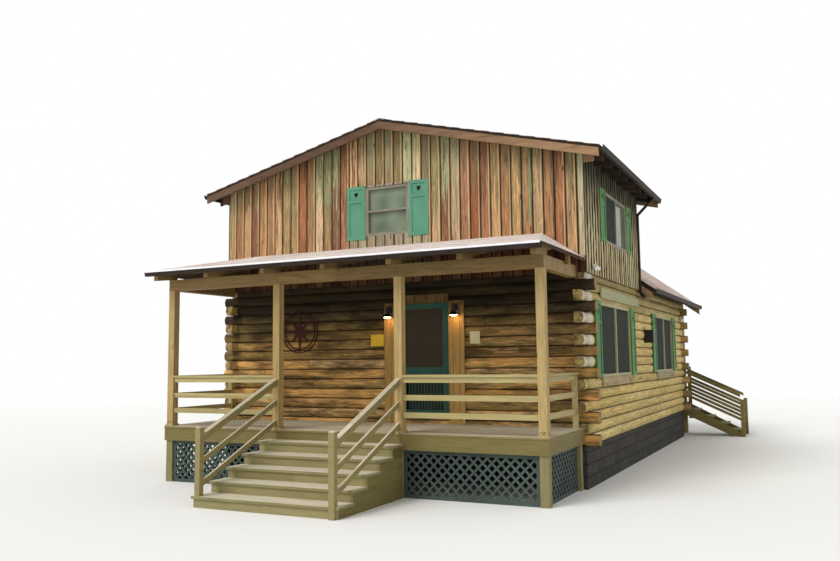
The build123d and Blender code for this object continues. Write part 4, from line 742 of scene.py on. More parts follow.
DOOR_GREEN = PaintedWood(
    "screen_door_dark_green", 0.5, 0.25, 0.3, "#285746", "#21493a", "#34463c", chips=0.84)
DOOR_BROWN = PaintedWood(
    "entry_door_dark_brown", 0.5, 0.25, 0.35, "#3a2c22", "#2b211a", "#4b3c30", chips=0.84)
CREAM_PAINT = PaintedWood(
    "window_frame_olive_cream", 0.5, 0.3, 0.3, "#a9a679", "#98956a", "#7c7256", chips=0.78)
GREY_PAINT = PaintedWood("window_frame_grey", 0.5, 0.3, 0.3, "#8b8678", "#767060", "#9a8a72", chips=0.78)
PLAQUE_PAINT = PaintedWood(
    "plate_yellow_and_shield_cream", 0.6, 0.2, 0.3, "#efc733", "#dbb22c", "#9a8a5a", chips=0.8,
    beyond=(0.9, "#d8cfa0"))
GLASS = WindowPane("window_glass_dark", 0.06, 0.05, 0.5)
DOOR_SCREEN = InsectScreen("door_screen_dark", 0.8, 0.1, 0.1, "#3a332a", "#4b4335")
SIDE_SCREEN = InsectScreen("window_screen_grey", 0.8, 0.1, 0.15, "#242a25", "#383f39", across=Axis.Y)
MASONRY = BlockMasonry("foundation_block_dark", 0.9, 2.0, 0.2)
WHITE_PLASTIC = BakedEnamel("lamp_white_plastic", 0.5, 0.1, 0.4, "#e6e5de", "#bbb8ac")
BULB = LitGlass("lamp_glass_lit", strength=22.0)


# Modelling helpers: a finished piece keeps its place in its mesh, with its object at the origin.


def deselect() -> None:
    """Leave edit mode with nothing selected."""
    if bpy.context.object and bpy.context.object.mode != "OBJECT":
        bpy.ops.object.mode_set(mode="OBJECT")
    bpy.ops.object.select_all(action="DESELECT")


def pick(obj: Piece) -> None:
    """Make one object the only selected and the active one.

    Args:
        obj: the object.
    """
    deselect()
    obj.select_set(True)
    bpy.context.view_layer.objects.active = obj


def settle(obj: Piece) -> Piece:
    """Put an object's place, turn and size into its mesh.

    Args:
        obj: the object.

    Returns:
        The object, at the origin.
    """
    pick(obj)
    bpy.ops.object.transform_apply(location=True, rotation=True, scale=True)
    return obj


def named(name: str, scale: Sequence[float] = (1, 1, 1)) -> Piece:
    """Name the shape that was just added, size it and settle it.

    Args:
        name: the piece's name.
        scale: its size along each axis, in its own sizes.

    Returns:
        The shape.
    """
    piece = bpy.context.object
    piece.name, piece.scale = name, scale
    return settle(piece)


def apply_modifier(obj: Piece, kind: str, **values: Any) -> Piece:
    """Give an object one modifier and apply it.

    Args:
        obj: the object.
        kind: the modifier's type.
        values: its settings.

    Returns:
        The object.
    """
    pick(obj)
    modifier = obj.modifiers.new(kind.lower(), kind)
    for key, value in values.items():
        setattr(modifier, key, value)
    bpy.ops.object.modifier_apply(modifier=modifier.name)
    return obj


@contextmanager
def edited(obj: Piece, rule: Callable[[Any], bool] | None = None, kind: str = "VERT") -> Iterator[None]:
    """Hold an object in edit mode, with all of it selected or only what a rule names.

    Args:
        obj: the piece.
        rule: says of a corner or an edge whether it is meant.
        kind: "VERT" or "EDGE", what the rule is asked about.

    Yields:
        Nothing: the mesh operators in the block work on the selection.
    """
    pick(obj)
    bpy.ops.object.mode_set(mode="EDIT")
    bpy.ops.mesh.select_mode(type=kind)
    bpy.ops.mesh.select_all(action="DESELECT" if rule else "SELECT")
    if rule:
        bpy.ops.object.mode_set(mode="OBJECT")
        for part in obj.data.edges if kind == "EDGE" else obj.data.vertices:
            part.select = rule(part)
        bpy.ops.object.mode_set(mode="EDIT")
    yield
    bpy.ops.mesh.select_mode(type="VERT")
    bpy.ops.object.mode_set(mode="OBJECT")


def timber(name: str, low: Sequence[float], high: Sequence[float], ease: float = 0.003) -> Piece:
    """Model a sawn board between two corners, its arrises eased.

    Args:
        name: the piece's name.
        low: lowest corner.
        high: highest corner.
        ease: width of the eased edge.

    Returns:
        The board, its place in its mesh.
    """
    deselect()
    bpy.ops.mesh.primitive_cube_add(size=1, location=[(a + b) / 2 for a, b in zip(low, high)])
    board = named(name, [b - a for a, b in zip(low, high)])
    return apply_modifier(board, "BEVEL", width=ease, segments=1, limit_method="NONE") if ease else board


def repeat(obj: Piece, count: int, step: Sequence[float]) -> Piece:
    """Repeat a modelled piece in even steps within its own mesh."""
    return apply_modifier(obj, "ARRAY", count=count, use_relative_offset=False, use_constant_offset=True,
                          constant_offset_displace=tuple(step))


def trim(obj: Piece, point: Sequence[float], normal: Sequence[float], close: bool = True) -> Piece:
    """Cut a mesh by a plane and drop what lies on the normal's side.

    Args:
        obj: the piece.
        point: a point of the plane.
        normal: the plane's normal, towards what is dropped.
        close: whether the cut is closed with faces.

    Returns:
        The piece.
    """
    with edited(obj):
        bpy.ops.mesh.bisect(plane_co=tuple(point), plane_no=tuple(Vector(normal).normalized()),
                            use_fill=close, clear_outer=True, clear_inner=False)
    return obj


def cut_box(obj: Piece, low: Sequence[float], high: Sequence[float]) -> None:
    """Cut a box-shaped opening out of a mesh.

    Args:
        obj: the piece.
        low: the box's lowest corner.
        high: its highest corner.
    """
    cutter = timber("cutter", low, high, 0.0)
    apply_modifier(obj, "BOOLEAN", operation="DIFFERENCE", solver="EXACT", object=cutter)
    bpy.data.objects.remove(cutter)


def copy_piece(obj: Piece, name: str, shift: Sequence[float] = (0, 0, 0), flip_x: bool = False) -> Piece:
    """Copy a finished piece with its own mesh.

    Args:
        obj: the piece to copy.
        name: the copy's name.
        shift: how far the copy is moved.
        flip_x: mirror it in the ridge's plane.

    Returns:
        The copy.
    """
    twin = obj.copy()
    twin.data, twin.name, twin.location = obj.data.copy(), name, shift
    bpy.context.scene.collection.objects.link(twin)
    if flip_x:
        twin.scale = (-1, 1, 1)
    settle(twin)
    if flip_x:
        with edited(twin):
            bpy.ops.mesh.normals_make_consistent(inside=False)
    return twin


def join(pieces: Sequence[Piece], name: str) -> Piece:
    """Join pieces of one material.

    Args:
        pieces: the pieces, of which the first stays.
        name: the joined piece's name.

    Returns:
        The joined piece.
    """
    pick(pieces[0])
    for piece in pieces:
        piece.select_set(True)
    bpy.ops.object.join()
    pieces[0].name = name
    return pieces[0]


@dataclass
class Assembly:
    """Base of every sub-assembly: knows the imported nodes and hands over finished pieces."""

    nodes: dict[str, Piece]
    body: Body = Body.CABIN

    def dress(self, finish: Finish, *names: str) -> None:
        """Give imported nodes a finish.

        Args:
            finish: what they are made of.
            names: the nodes' names.
        """
        material = finish.make()
        for name in names:
            node = self.nodes[name]
            if not node.data.materials:
                node.data.materials.append(material)
            for slot in node.material_slots:
                slot.material = material
            LOG.info("dressed %s in %s", name, finish.name)

    def hand_over(self, piece: Piece, finish: Finish, slot: str, *replaced: str,
                  smooth: bool = False) -> None:
        """Finish a new piece.

        Args:
            piece: the piece.
            finish: what it is made of.
            slot: not used.
            replaced: the nodes that it stands for.
            smooth: whether its round faces are shaded smooth.
        """
        piece.data.materials.clear()
        piece.data.materials.append(finish.make())
        pick(piece)
        if smooth:
            bpy.ops.object.shade_smooth_by_angle(angle=SMOOTH_ANGLE)
        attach(piece, self.body.value)
        if replaced:
            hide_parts(*replaced)
        LOG.info("built %s, %d faces", piece.name, len(piece.data.polygons))

    def both_sides(self, piece: Piece, twin: str, finish: Finish, slot: str) -> None:
        """Hand over a piece of the right side and its mirror image on the left."""
        self.hand_over(piece, finish, slot)
        self.hand_over(copy_piece(piece, twin, flip_x=True), finish, slot)


# Sub-assemblies


@dataclass
class LogShell(Assembly):
    """The log walls on their block foundation, with the floors inside."""

    def build(self) -> None:
        """Dress the log walls, floors and foundation."""
        self.dress(FRONT_LOG, "front_wall_left", "front_wall_right", "front_wall_over_door",
                   "front_wall_sill")
        self.dress(REAR_LOG, "rear_wall")
        self.dress(SIDE_LOG, "right_wall", "left_wall")
        self.dress(FLOOR_WOOD, "ground_floor", "upper_floor")
        self.dress(MASONRY, "foundation")


@dataclass
class BoardedStorey(Assembly):
    """Live-edge boards over the upper storey's walls, both gables and the walls above the rear roof."""

    half: float = 3.7565
    front: float = -0.036
    depth: float = 4.33
    skirt: float = 3.578
    pitch: float = 0.195
    side_pitch: float = 0.18
    side_top: float = 5.62
    gap: float = 0.014
    thick: float = 0.018
    live: float = 0.028
    divisions: int = 11
    end: float = 0.05
    wander: float = 0.009
    apex: float = 6.613
    slope: float = 0.25
    sill_foot: float = 3.9
    window: Span = (-0.459, 0.459, 4.5, 5.445)
    front_leaf: Span = (0.479, 0.867, 4.446, 5.474)
    side_window: Span = (1.449, 3.159, 4.25, 5.21)
    side_leaves: tuple[float, ...] = (1.041, 3.179)
    leaf_width: float = 0.388
    leaf_height: tuple[float, float] = (4.256, 5.214)
    eave_x: float = 4.0575
    eave_z: float = 3.617
    gable_half: float = 3.689
    gable_face: float = 10.095
    gable: tuple[float, float, int] = (3.66, 6.5, 38)
    cheek: tuple[float, float, int] = (0.08, 3.7, 19)
    soffit: float = 0.11
    corner_width: float = 0.075
    corner_height: tuple[float, float] = (3.85, 5.75)
    lap: float = 0.012
    head_height: float = 0.034

    def slopes(self, piece: Piece) -> Piece:
        """Trim boards to the underside of the low roof.

        Args:
            piece: the boards.

        Returns:
            The boards.
        """
        for side in (-1, 1):
            trim(piece, (0, 0, self.apex), (side * self.slope, 0, 1))
        return piece

    def boards(self, name: str, corner: Point, across: Axis, out: float, count: int, top: float,
               openings: Sequence[tuple[Point, Point]] = ()) -> Piece:
        """Lay upright boards, each with one wandering, chamfered live edge.

        Args:
            name: the piece's name.
            corner: lowest corner of the first board, on the wall's face.
            across: the axis that the boards follow each other along.
            out: +1 or -1, the way that the wall faces along the other axis.
            count: how many boards.
            top: height that they reach.
            openings: boxes cut out of them, as lowest and highest corners.

        Returns:
            The boards as one piece.
        """
        side, face = across.value, 1 - across.value
        pitch = self.side_pitch if across is Axis.Y else self.pitch
        edge, surface = corner[side] + pitch - self.gap, corner[face] + out * self.thick
        low, high = list(corner), list(corner)
        high[side], high[2] = edge, top
        low[face], high[face] = sorted((corner[face], surface))
        board = timber(name, low, high, 0.0)
        with edited(board,
                    lambda v: abs(v.co[side] - edge) < TOUCH and abs(v.co[face] - surface) < TOUCH):
            bpy.ops.transform.translate(value=by_axis(across, -self.live, 0.0))

        def upright(side_of: Any) -> bool:
            """Say whether an edge runs up the board."""
            foot, head = (board.data.vertices[index].co.z for index in side_of.vertices)
            return abs(foot - head) > 0.5

        with edited(board, upright, "EDGE"):
            bpy.ops.mesh.subdivide(number_cuts=self.divisions)
        repeat(board, count, by_axis(across, pitch, 0.0))
        for near, far in openings:
            cut_box(board, near, far)

        def on_edge(corner_of: Any) -> bool:
            """Say whether a corner lies on a board's chamfered edge, away from the ends.

            Args:
                corner_of: a corner of the mesh.

            Returns:
                True on the edge.
            """
            co = corner_of.co
            along = (co[side] - edge + self.live + pitch / 2) % pitch - pitch / 2
            return (abs(along) < 10 * TOUCH and abs(co[face] - surface) < TOUCH
                    and low[2] + self.end < co[2] < top - self.end)

        with edited(board, on_edge):
            bpy.ops.transform.vertex_random(offset=self.wander, uniform=0.4, normal=0.0, seed=count)
        return board

    def build(self) -> None:
        """Dress the walls and board every side of them."""
        self.dress(UNDERBOARD, "front_gable_wall", "right_upper_wall", "left_upper_wall", "dormer_cheeks",
                   "rear_gable")
        self.front_boards()
        self.side_boards()
        self.rear_boards()

    def front_boards(self) -> None:
        """Board the front gable, with bare short boards, a head and a corner board."""
        corner, count = (-self.half, self.front, self.skirt), int(2 * self.half / self.pitch) + 1
        x0, x1, w0, w1 = self.window
        a, b, z0, z1 = self.front_leaf
        openings = (((x0, -1, w0), (x1, 1, w1)), ((a, -1, z0), (b, 1, z1)), ((-b, -1, z0), (-a, 1, z1)),
                    ((-b, -1, self.sill_foot), (b, 1, z0 + 0.06)))
        face = self.boards("front_gable_boards", corner, Axis.X, -1, count, self.apex, openings)
        trim(self.slopes(face), (self.half, 0, 0), (1, 0, 0))
        sill = self.boards("sill_boards", corner, Axis.X, -1, count, self.apex)
        for point, normal in (((b, 0, 0), (1, 0, 0)), ((-b, 0, 0), (-1, 0, 0)), ((0, 0, w0), (0, 0, 1)),
                              ((0, 0, self.sill_foot), (0, 0, -1))):
            trim(sill, point, normal)
        self.hand_over(face, FRONT_SIDING, "siding")
        self.hand_over(sill, BARE_SIDING, "siding")
        out = self.front - self.thick
        foot, top = self.corner_height
        edge = timber("corner_board", (self.half - self.corner_width, out - self.lap / 2, foot),
                      (self.half + self.lap, self.front, top), 0.004)
        sage = replace(BARE_SIDING, name="corner_board_sage", tints=("#b3b08a",) * 2)
        self.hand_over(self.slopes(edge), sage, "siding")
        head = timber("front_window_head", (x0 - self.lap, out - self.lap, w1 - 0.004),
                      (x1 + self.lap, self.front + 0.002, w1 + self.head_height), 0.006)
        self.hand_over(head, BARE_SIDING, "siding")

    def side_boards(self) -> None:
        """Board both sides round their windows and shutters."""
        y0, y1, w0, w1 = self.side_window
        z0, z1 = self.leaf_height
        openings = [((3, y0, w0), (5, y1, w1))]
        openings += [((3, leaf, z0), (5, leaf + self.leaf_width, z1)) for leaf in self.side_leaves]
        side = self.boards("right_side_boards", (self.half, self.front, self.skirt), Axis.Y, 1,
                           int(self.depth / self.side_pitch) + 1, self.side_top, openings)
        trim(side, (0, self.depth, 0), (0, 1, 0))
        self.both_sides(side, "left_side_boards", side_siding("side_boards_olive_stain", Axis.Y),
                        "siding")

    def rear_boards(self) -> None:
        """Board the walls over the steep roof and the rear gable under it."""
        finish = side_siding("rear_boards_olive_stain", Axis.X)
        steep = (self.apex - self.eave_z) / self.eave_x
        x, foot, count = self.cheek
        back = self.boards("dormer_cheek_boards", (x, self.depth, foot), Axis.X, 1, count, self.apex)
        trim(self.slopes(back), (self.eave_x, 0, self.eave_z), (-steep, 0, -1))
        self.both_sides(back, "dormer_cheek_boards_left", finish, "siding")
        foot, top, count = self.gable
        gable = self.boards("rear_gable_boards", (-self.gable_half, self.gable_face, foot), Axis.X, 1,
                            count, top)
        for side in (-1, 1):
            trim(gable, (side * self.eave_x, 0, self.eave_z - self.soffit), (side * steep, 0, 1))
        trim(gable, (self.gable_half, 0, 0), (1, 0, 0))
        self.hand_over(gable, finish, "siding")


@dataclass(frozen=True)
class Slope:
    """A roof slope that falls along X: a point on its top edge, one below it on the eave, its ends."""

    top: Point
    foot: Point
    y0: float
    y1: float

    @property
    def fall(self) -> tuple[float, float]:
        """How far it runs out and down."""
        return self.foot[0] - self.top[0], self.top[2] - self.foot[2]


@dataclass
class ShingledRoofs(Assembly):
    """Three roofs under mineral shingles, each tab a real piece lapped over the next."""

    exposure: float = 0.143
    tab: float = 0.305
    slot_gap: float = 0.008
    thick: float = 0.005
    sunk: float = 0.004
    lap: float = 1.12
    overhang: float = 0.012
    drip: float = 0.018
    rear: Slope = Slope((0, 0, 6.613), (4.0575, 0, 3.617), 4.335, 11.36)
    upper: Slope = Slope((0, 0, 6.665), (4.115, 0, 5.63625), -0.338, 4.97)
    hip: Slope = Slope((3.025, 0, 4.287), (3.748, 0, 3.81), -2.331, -0.036)

    def field_of_tabs(self, name: str, width: float, length: float) -> Piece:
        """Model one tab, then a field of staggered courses lying flat.

        Args:
            name: the field's name.
            width: size along Y.
            length: size down the slope, along X.

        Returns:
            The field, from the origin along +X and +Y, on top of z = 0.
        """
        half_gap = self.slot_gap / 2
        tab = timber(name, (0, half_gap, -self.sunk),
                     (self.exposure * self.lap, self.tab - half_gap, self.thick), 0.0)
        with edited(tab, lambda v: v.co.x < 0.001 and v.co.z > 0):
            bpy.ops.transform.translate(value=(0, 0, -self.thick - 0.001))
        repeat(tab, int(width / self.tab) + 2, (0, self.tab, 0))
        second = copy_piece(tab, "second_course", (self.exposure, -self.tab / 2, 0))
        return repeat(join([tab, second], name), int(length / self.exposure / 2) + 1,
                      (2 * self.exposure, 0, 0))

    def spare(self, run: float) -> float:
        """How far above the top edge the first course starts, so that the last one ends at the eave."""
        return math.ceil(run / self.exposure) * self.exposure - run - self.overhang

    def lay(self, name: str, slope: Slope) -> Piece:
        """Lay a field of tabs on a slope and trim it to the slope's ends.

        Args:
            name: the piece's name.
            slope: where it lies.

        Returns:
            The shingles.
        """
        out, drop = slope.fall
        run, down = math.hypot(out, drop), Vector((out, 0, -drop)).normalized()
        tabs = self.field_of_tabs(name, slope.y1 - slope.y0, run + self.exposure)
        tabs.rotation_euler = (0, math.atan2(drop, out), 0)
        tabs.location = Vector((slope.top[0], slope.y0, slope.top[2])) - down * self.spare(run)
        settle(tabs)
        trim(tabs, (0, slope.y0 - 0.01, 0), (0, -1, 0), close=False)
        trim(tabs, (0, slope.y1, 0), (0, 1, 0), close=False)
        trim(tabs, slope.top, -down, close=False)
        return trim(tabs, Vector(slope.foot) + down * self.drip, down, close=False)

    def granules(self, finish: MineralShingle, name: str, slope: Slope) -> Finish:
        """Match a shingle finish's tints to the tabs of a slope.

        Args:
            finish: the finish of the roof that carries them.
            name: the new finish's name.
            slope: where the tabs lie.

        Returns:
            The tabs' own finish.
        """
        run = math.hypot(*slope.fall)
        level = slope.fall[0] / run
        start = slope.top[0] + ((self.lap - 1) * self.exposure - self.spare(run)) * level
        return replace(finish, name=name, start=start, step=self.exposure * level, along=slope.y0,
                       soffit="")

    def build(self) -> None:
        """Lay the rear, upper and porch roofs' shingles and dress what carries them."""
        self.dress(SHINGLES, "upper_roof", "rear_roof")
        self.dress(PORCH_SHINGLES, "porch_roof")
        for name, slope in (("rear_roof_shingles", self.rear), ("upper_roof_shingles", self.upper)):
            finish = self.granules(SHINGLES, f"{name}_granules", slope)
            self.both_sides(self.lay(name, slope), f"{name}_left", finish, "shingles")
        self.porch()

    def porch(self) -> None:
        """Lay the porch's long slope and its two steep hips."""
        hip, half = self.hip.top[0], self.hip.foot[0]
        top_z, eave_y, wall_y = self.hip.top[2], self.hip.y0, self.hip.y1
        deep, rise = wall_y - eave_y, top_z - self.hip.foot[2]
        run, pitch = math.hypot(deep, rise), math.atan2(rise, deep)
        spare = self.spare(run)
        tabs = self.field_of_tabs("porch_roof_shingles", 2 * half, run + self.exposure)
        start = Vector((-half, wall_y + spare * math.cos(pitch), top_z + spare * math.sin(pitch)))
        tabs.matrix_world = (Matrix.Translation(start) @ Matrix.Rotation(pitch, 4, "X")
                             @ Matrix.Rotation(-math.pi / 2, 4, "Z"))
        settle(tabs)
        for side in (-1, 1):
            trim(tabs, (side * half, eave_y, 0), (side * deep, half - hip, 0), close=False)
        trim(tabs, (0, wall_y - 0.018, 0), (0, 1, 0), close=False)
        trim(tabs, (0, eave_y - 0.015, 0), (0, -1, 0), close=False)
        granules = replace(PORCH_SHINGLES, name="porch_long_slope_granules", fall=Axis.Y, soffit="",
                           step=self.exposure * math.cos(pitch), along=-half,
                           start=-wall_y + ((self.lap - 1) * self.exposure - spare) * math.cos(pitch))
        self.hand_over(tabs, granules, "shingles")
        side_field = self.lay("porch_hip_shingles", self.hip)
        trim(side_field, (half, eave_y, 0), (-deep, hip - half, 0), close=False)
        finish = self.granules(PORCH_SHINGLES, "porch_hip_granules", self.hip)
        self.both_sides(side_field, "porch_hip_shingles_left", finish, "shingles")


@dataclass
class Porch(Assembly):
    """Deck, posts, beams, rafters, rails and lattice of both porches."""

    half: float = 3.6575
    depth: float = 1.931
    top: float = 1.0
    thick: float = 0.038
    board: float = 0.138
    gap: float = 0.005
    posts: int = 4
    post: float = 0.135
    post_x: float = -3.624
    post_pitch: float = 2.371
    post_y: float = -1.8975
    shoe_out: float = 0.006
    shoe_height: float = 0.022
    bolt: float = 0.011
    bolt_spots: tuple[tuple[float, float], ...] = ((0.04, 1.07), (0.095, 1.07), (0.0675, 3.55),
                                                   (0.0675, 3.62))

    def deck_boards(self, name: str, node: str, y0: float, y1: float, top: float) -> None:
        """Lay boards along X in a deck's place.

        Args:
            name: the piece's name.
            node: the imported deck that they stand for.
            y0: front edge.
            y1: back edge.
            top: height of the walking surface.
        """
        count = round((y1 - y0) / (self.board + self.gap))
        step = (y1 - y0 + self.gap) / count
        board = timber(name, (-self.half, y0, top - self.thick), (self.half, y0 + step - self.gap, top),
                       0.004)
        self.hand_over(repeat(board, count, (0, step, 0)), DECK_BOARD, "porch_wood", node)

    def build(self) -> None:
        """Lay the deck boards, dress the timbers and set the bolts and shoes."""
        self.deck_boards("deck_boards", "deck", -self.depth, 0.0, self.top)
        low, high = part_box("back_porch")
        self.deck_boards("back_porch_boards", "back_porch", low.y, high.y, high.z)
        post = solid_stain("post_tan_stain", POST_TINTS, Axis.Z, 0.36)
        self.dress(replace(post, knot_size=0.12, knot="#5f4323"), "porch_posts", "back_posts")
        self.dress(solid_stain("deck_post_olive_stain", STEP_TINTS, Axis.Z, 0.34), "deck_posts")
        for axis, rails, beams, rims in (
                (Axis.X, ("porch_front_rails",), ("porch_beams", "back_beam"), "porch_rims"),
                (Axis.Y, ("porch_side_rails", "back_porch_rails"), ("porch_rafters",), "porch_joists")):
            self.dress(solid_stain("rail_olive_stain", RAIL_TINTS, axis), *rails)
            self.dress(solid_stain("beam_brown_stain", BEAM_TINTS, axis, 0.4), *beams)
            self.dress(solid_stain("rim_dark_olive_stain", RIM_TINTS, axis), rims)
        self.dress(LATTICE, "porch_lattice")
        self.bolts()
        self.shoes()

    def bolts(self) -> None:
        """Model one round bolt head that faces the front and set its copies on the posts."""
        deselect()
        bpy.ops.mesh.primitive_uv_sphere_add(segments=12, ring_count=6, radius=self.bolt)
        head = trim(named("bolt_head", (1, 0.5, 1)), (0, 0.0005, 0), (0, 1, 0))
        heads = [copy_piece(head, f"{head.name}_{index}_{z}",
                            (self.post_x + self.post_pitch * index + x, self.post_y, z))
                 for index in range(self.posts) for x, z in self.bolt_spots]
        bpy.data.objects.remove(head)
        self.hand_over(join(heads, "post_bolts"), BOLT_STEEL, "iron", smooth=True)

    def shoes(self) -> None:
        """Stand each porch post in a flat steel shoe."""
        x, y, out = self.post_x, self.post_y, self.shoe_out
        shoe = timber("post_shoes", (x - out, y - out, self.top),
                      (x + self.post + out, y + self.post + out, self.top + self.shoe_height), 0.002)
        cut_box(shoe, (x, y, self.top - 0.01), (x + self.post, y + self.post, self.top + 0.1))
        self.hand_over(repeat(shoe, self.posts, (self.post_pitch, 0, 0)), SHOE_METAL, "iron")


@dataclass
class FrontSteps(Assembly):
    """Treads, risers, stringers and the two capped stair rails."""

    def build(self) -> None:
        """Dress the steps and their rails."""
        self.dress(TREAD_BOARD, "front_treads")
        self.dress(solid_stain("riser_olive_stain", STEP_TINTS, Axis.X, 0.15), "front_risers")
        self.dress(solid_stain("stringer_olive_stain", RIM_TINTS, Axis.Y, 0.2), "front_stringers")
        rail = solid_stain("stair_rail_olive_stain", DECK_TINTS, Axis.Y, 0.2)
        self.dress(replace(rail, flank="#8f8357"), "front_stair_rails")


@dataclass
class Doorway(Assembly):
    """Plank casings, the screen door over the entry door, and the two lit lamps."""

    lamp_x: tuple[float, float] = (0.051, 1.387)
    lamp_y: float = -0.16
    lamp_z: float = 2.94
    bulb: float = 0.042
    brim: float = 0.092
    brim_z: tuple[float, float] = (2.936, 2.976)
    crown: float = 0.55
    rolled_edge: float = 0.004
    flare: float = 0.018
    hollow: float = 0.016

    def build(self) -> None:
        """Dress the doors and lamps, light the bulbs and turn the brims."""
        self.dress(CASING, "door_frame")
        self.dress(DOOR_GREEN, "screen_door")
        self.dress(DOOR_SCREEN, "screen_mesh")
        self.dress(DOOR_BROWN, "entry_door", "back_door")
        self.dress(WHITE_PLASTIC, "flood_lights")
        self.dress(BLACK_METAL, "porch_lamps", "wall_box")
        bulbs = []
        for index, x in enumerate(self.lamp_x):
            deselect()
            bpy.ops.mesh.primitive_uv_sphere_add(segments=16, ring_count=10, radius=self.bulb,
                                                 location=(x, self.lamp_y, self.lamp_z - 0.005))
            bulbs.append(trim(named(f"bulb_{index}", (1.6, 1.6, 0.5)), (0, 0, self.lamp_z), (0, 0, 1)))
        self.hand_over(join(bulbs, "lamp_bulbs"), BULB, "lamp", smooth=True)
        self.shades()

    def shades(self) -> None:
        """Turn a flared, hollow brim for each lamp."""
        deselect()
        (left, right), (low, high) = self.lamp_x, self.brim_z
        bpy.ops.mesh.primitive_cone_add(vertices=36, radius1=self.brim, radius2=self.brim * self.crown,
                                        depth=high - low, location=(left, self.lamp_y, (low + high) / 2))
        shade = named("lamp_shades")
        with edited(shade, lambda v: v.co.z < low + TOUCH):
            bpy.ops.mesh.inset(thickness=self.rolled_edge, depth=0.0)
            bpy.ops.mesh.inset(thickness=self.flare, depth=-self.hollow)
        other = copy_piece(shade, "lamp_shade_right", (right - left, 0, 0))
        self.hand_over(join([shade, other], "lamp_shades"), BLACK_METAL, "lamp")


@dataclass
class Windows(Assembly):
    """Frames, glass, screens, shutters and the planks round the windows."""

    lower: tuple[Span, ...] = ((0.96, 3.39, 1.8, 3.137), (6.15, 8.4, 1.8, 3.137))
    upper: Span = (1.449, 3.159, 4.25, 5.21)
    lower_x: float = 3.7
    upper_x: float = 3.742
    sash: float = 0.055

    def screens(self, x: float, opening: Span, halves: int = 2) -> list[Piece]:
        """Stretch a screen over each half of a side window.

        Args:
            x: where the screens lie.
            opening: y0, y1, z0 and z1 of the frame.
            halves: 1 for the front half alone.

        Returns:
            The screens.
        """
        y0, y1, z0, z1 = opening
        middle, sash = (y0 + y1) / 2, self.sash
        spans = ((y0 + sash, middle - sash / 2), (middle + sash / 2, y1 - sash))
        return [timber("screen", (x, a, z0 + sash), (x + 0.002, b, z1 - sash), 0.0004)
                for a, b in spans[:halves]]

    def build(self) -> None:
        """Stretch the screens and dress the frames."""
        screens = [screen for opening in self.lower for screen in self.screens(self.lower_x, opening)]
        screens += self.screens(self.upper_x, self.upper, 1)
        self.both_sides(join(screens, "window_screens_right"), "window_screens_left", SIDE_SCREEN, "mesh")
        for finish, name in ((GLASS, "window_glass"), (CREAM_PAINT, "lower_window_frames"),
                             (GREY_PAINT, "upper_window_frames"), (FRONT_SHUTTER, "front_shutters"),
                             (SIDE_SHUTTER, "side_shutters"), (PLANK_WOOD, "window_planks")):
            self.dress(finish, name)


@dataclass
class RoofTrim(Assembly):
    """Rake boards, rafter tails, gutters, downspouts, the porch gutter's near-white lip with a painted sky
    reflection, and the drip edges.
    """

    half: float = 3.748
    gutter_top: float = 3.802
    lip_y: float = -2.4215
    lip_depth: float = 0.02
    lip_drop: float = 0.026
    eave_y: float = -2.331
    wall_y: float = -0.036
    hanger: float = 0.022
    hanger_start: float = 0.12
    hanger_pitch: float = 0.46
    drip_z: tuple[float, float] = (3.772, 3.812)

    def build(self) -> None:
        """Dress the trim, lay the gutter's lip, hang its straps and edge the porch's hips."""
        self.dress(RAKE_WOOD, "rake_boards")
        self.dress(DARK_TIMBER, "eave_rafter_tails")
        self.dress(TRIM_METAL, "eave_gutters", "downspouts")
        # The lip's near-white enamel is a painted reflection of the sky on the gutter's rolled edge.
        back, first = self.lip_y + self.lip_depth, -self.half + self.hanger_start
        lip = timber("porch_gutter_lip", (-self.half, self.lip_y, self.gutter_top - self.lip_drop),
                     (self.half, back, self.gutter_top + 0.004), 0.006)
        strap = timber("porch_gutter_hangers", (first, back, self.gutter_top),
                       (first + self.hanger, self.eave_y, self.gutter_top + 0.003), 0.0006)
        repeat(strap, int(2 * self.half / self.hanger_pitch), (self.hanger_pitch, 0, 0))
        self.hand_over(join([lip, strap], "porch_gutter_lip"), PALE_METAL_AND_REFLECTION, "roof_trim")
        low, high = self.drip_z
        edge = timber("porch_drip_edges", (self.half - 0.004, self.eave_y, low),
                      (self.half - 0.0005, self.wall_y, high), 0.0008)
        left = copy_piece(edge, "porch_drip_edge_left", flip_x=True)
        self.hand_over(join([edge, left], "porch_drip_edges"), PALE_METAL_AND_REFLECTION, "roof_trim")


@dataclass
class BackStair(Assembly):
    """The stair from the back porch to the ground, and its rails."""

    def build(self) -> None:
        """Dress the stair and its rails."""
        self.dress(solid_stain("rim_dark_olive_stain", RIM_TINTS, Axis.X), "back_stair",
                   "back_stair_rails")


@dataclass
class Ornaments(Assembly):
    """The iron compass wheel and the two bare plates on the front wall."""

    board: Point = (0.19, 0.006, 0.221)

    def build(self) -> None:
        """Dress the ornaments and set a plain board behind the shield."""
        self.dress(IRON, "compass_wheel")
        self.dress(PLAQUE_PAINT, "wall_plaques")
        wide, deep, tall = self.board
        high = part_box("wall_plaques")[1]
        back = timber("shield_back_board", (high.x - wide, -deep, high.z - tall), (high.x, 0.0, high.z),
                      0.002)
        self.hand_over(back, PLAQUE_PAINT, "plaque")


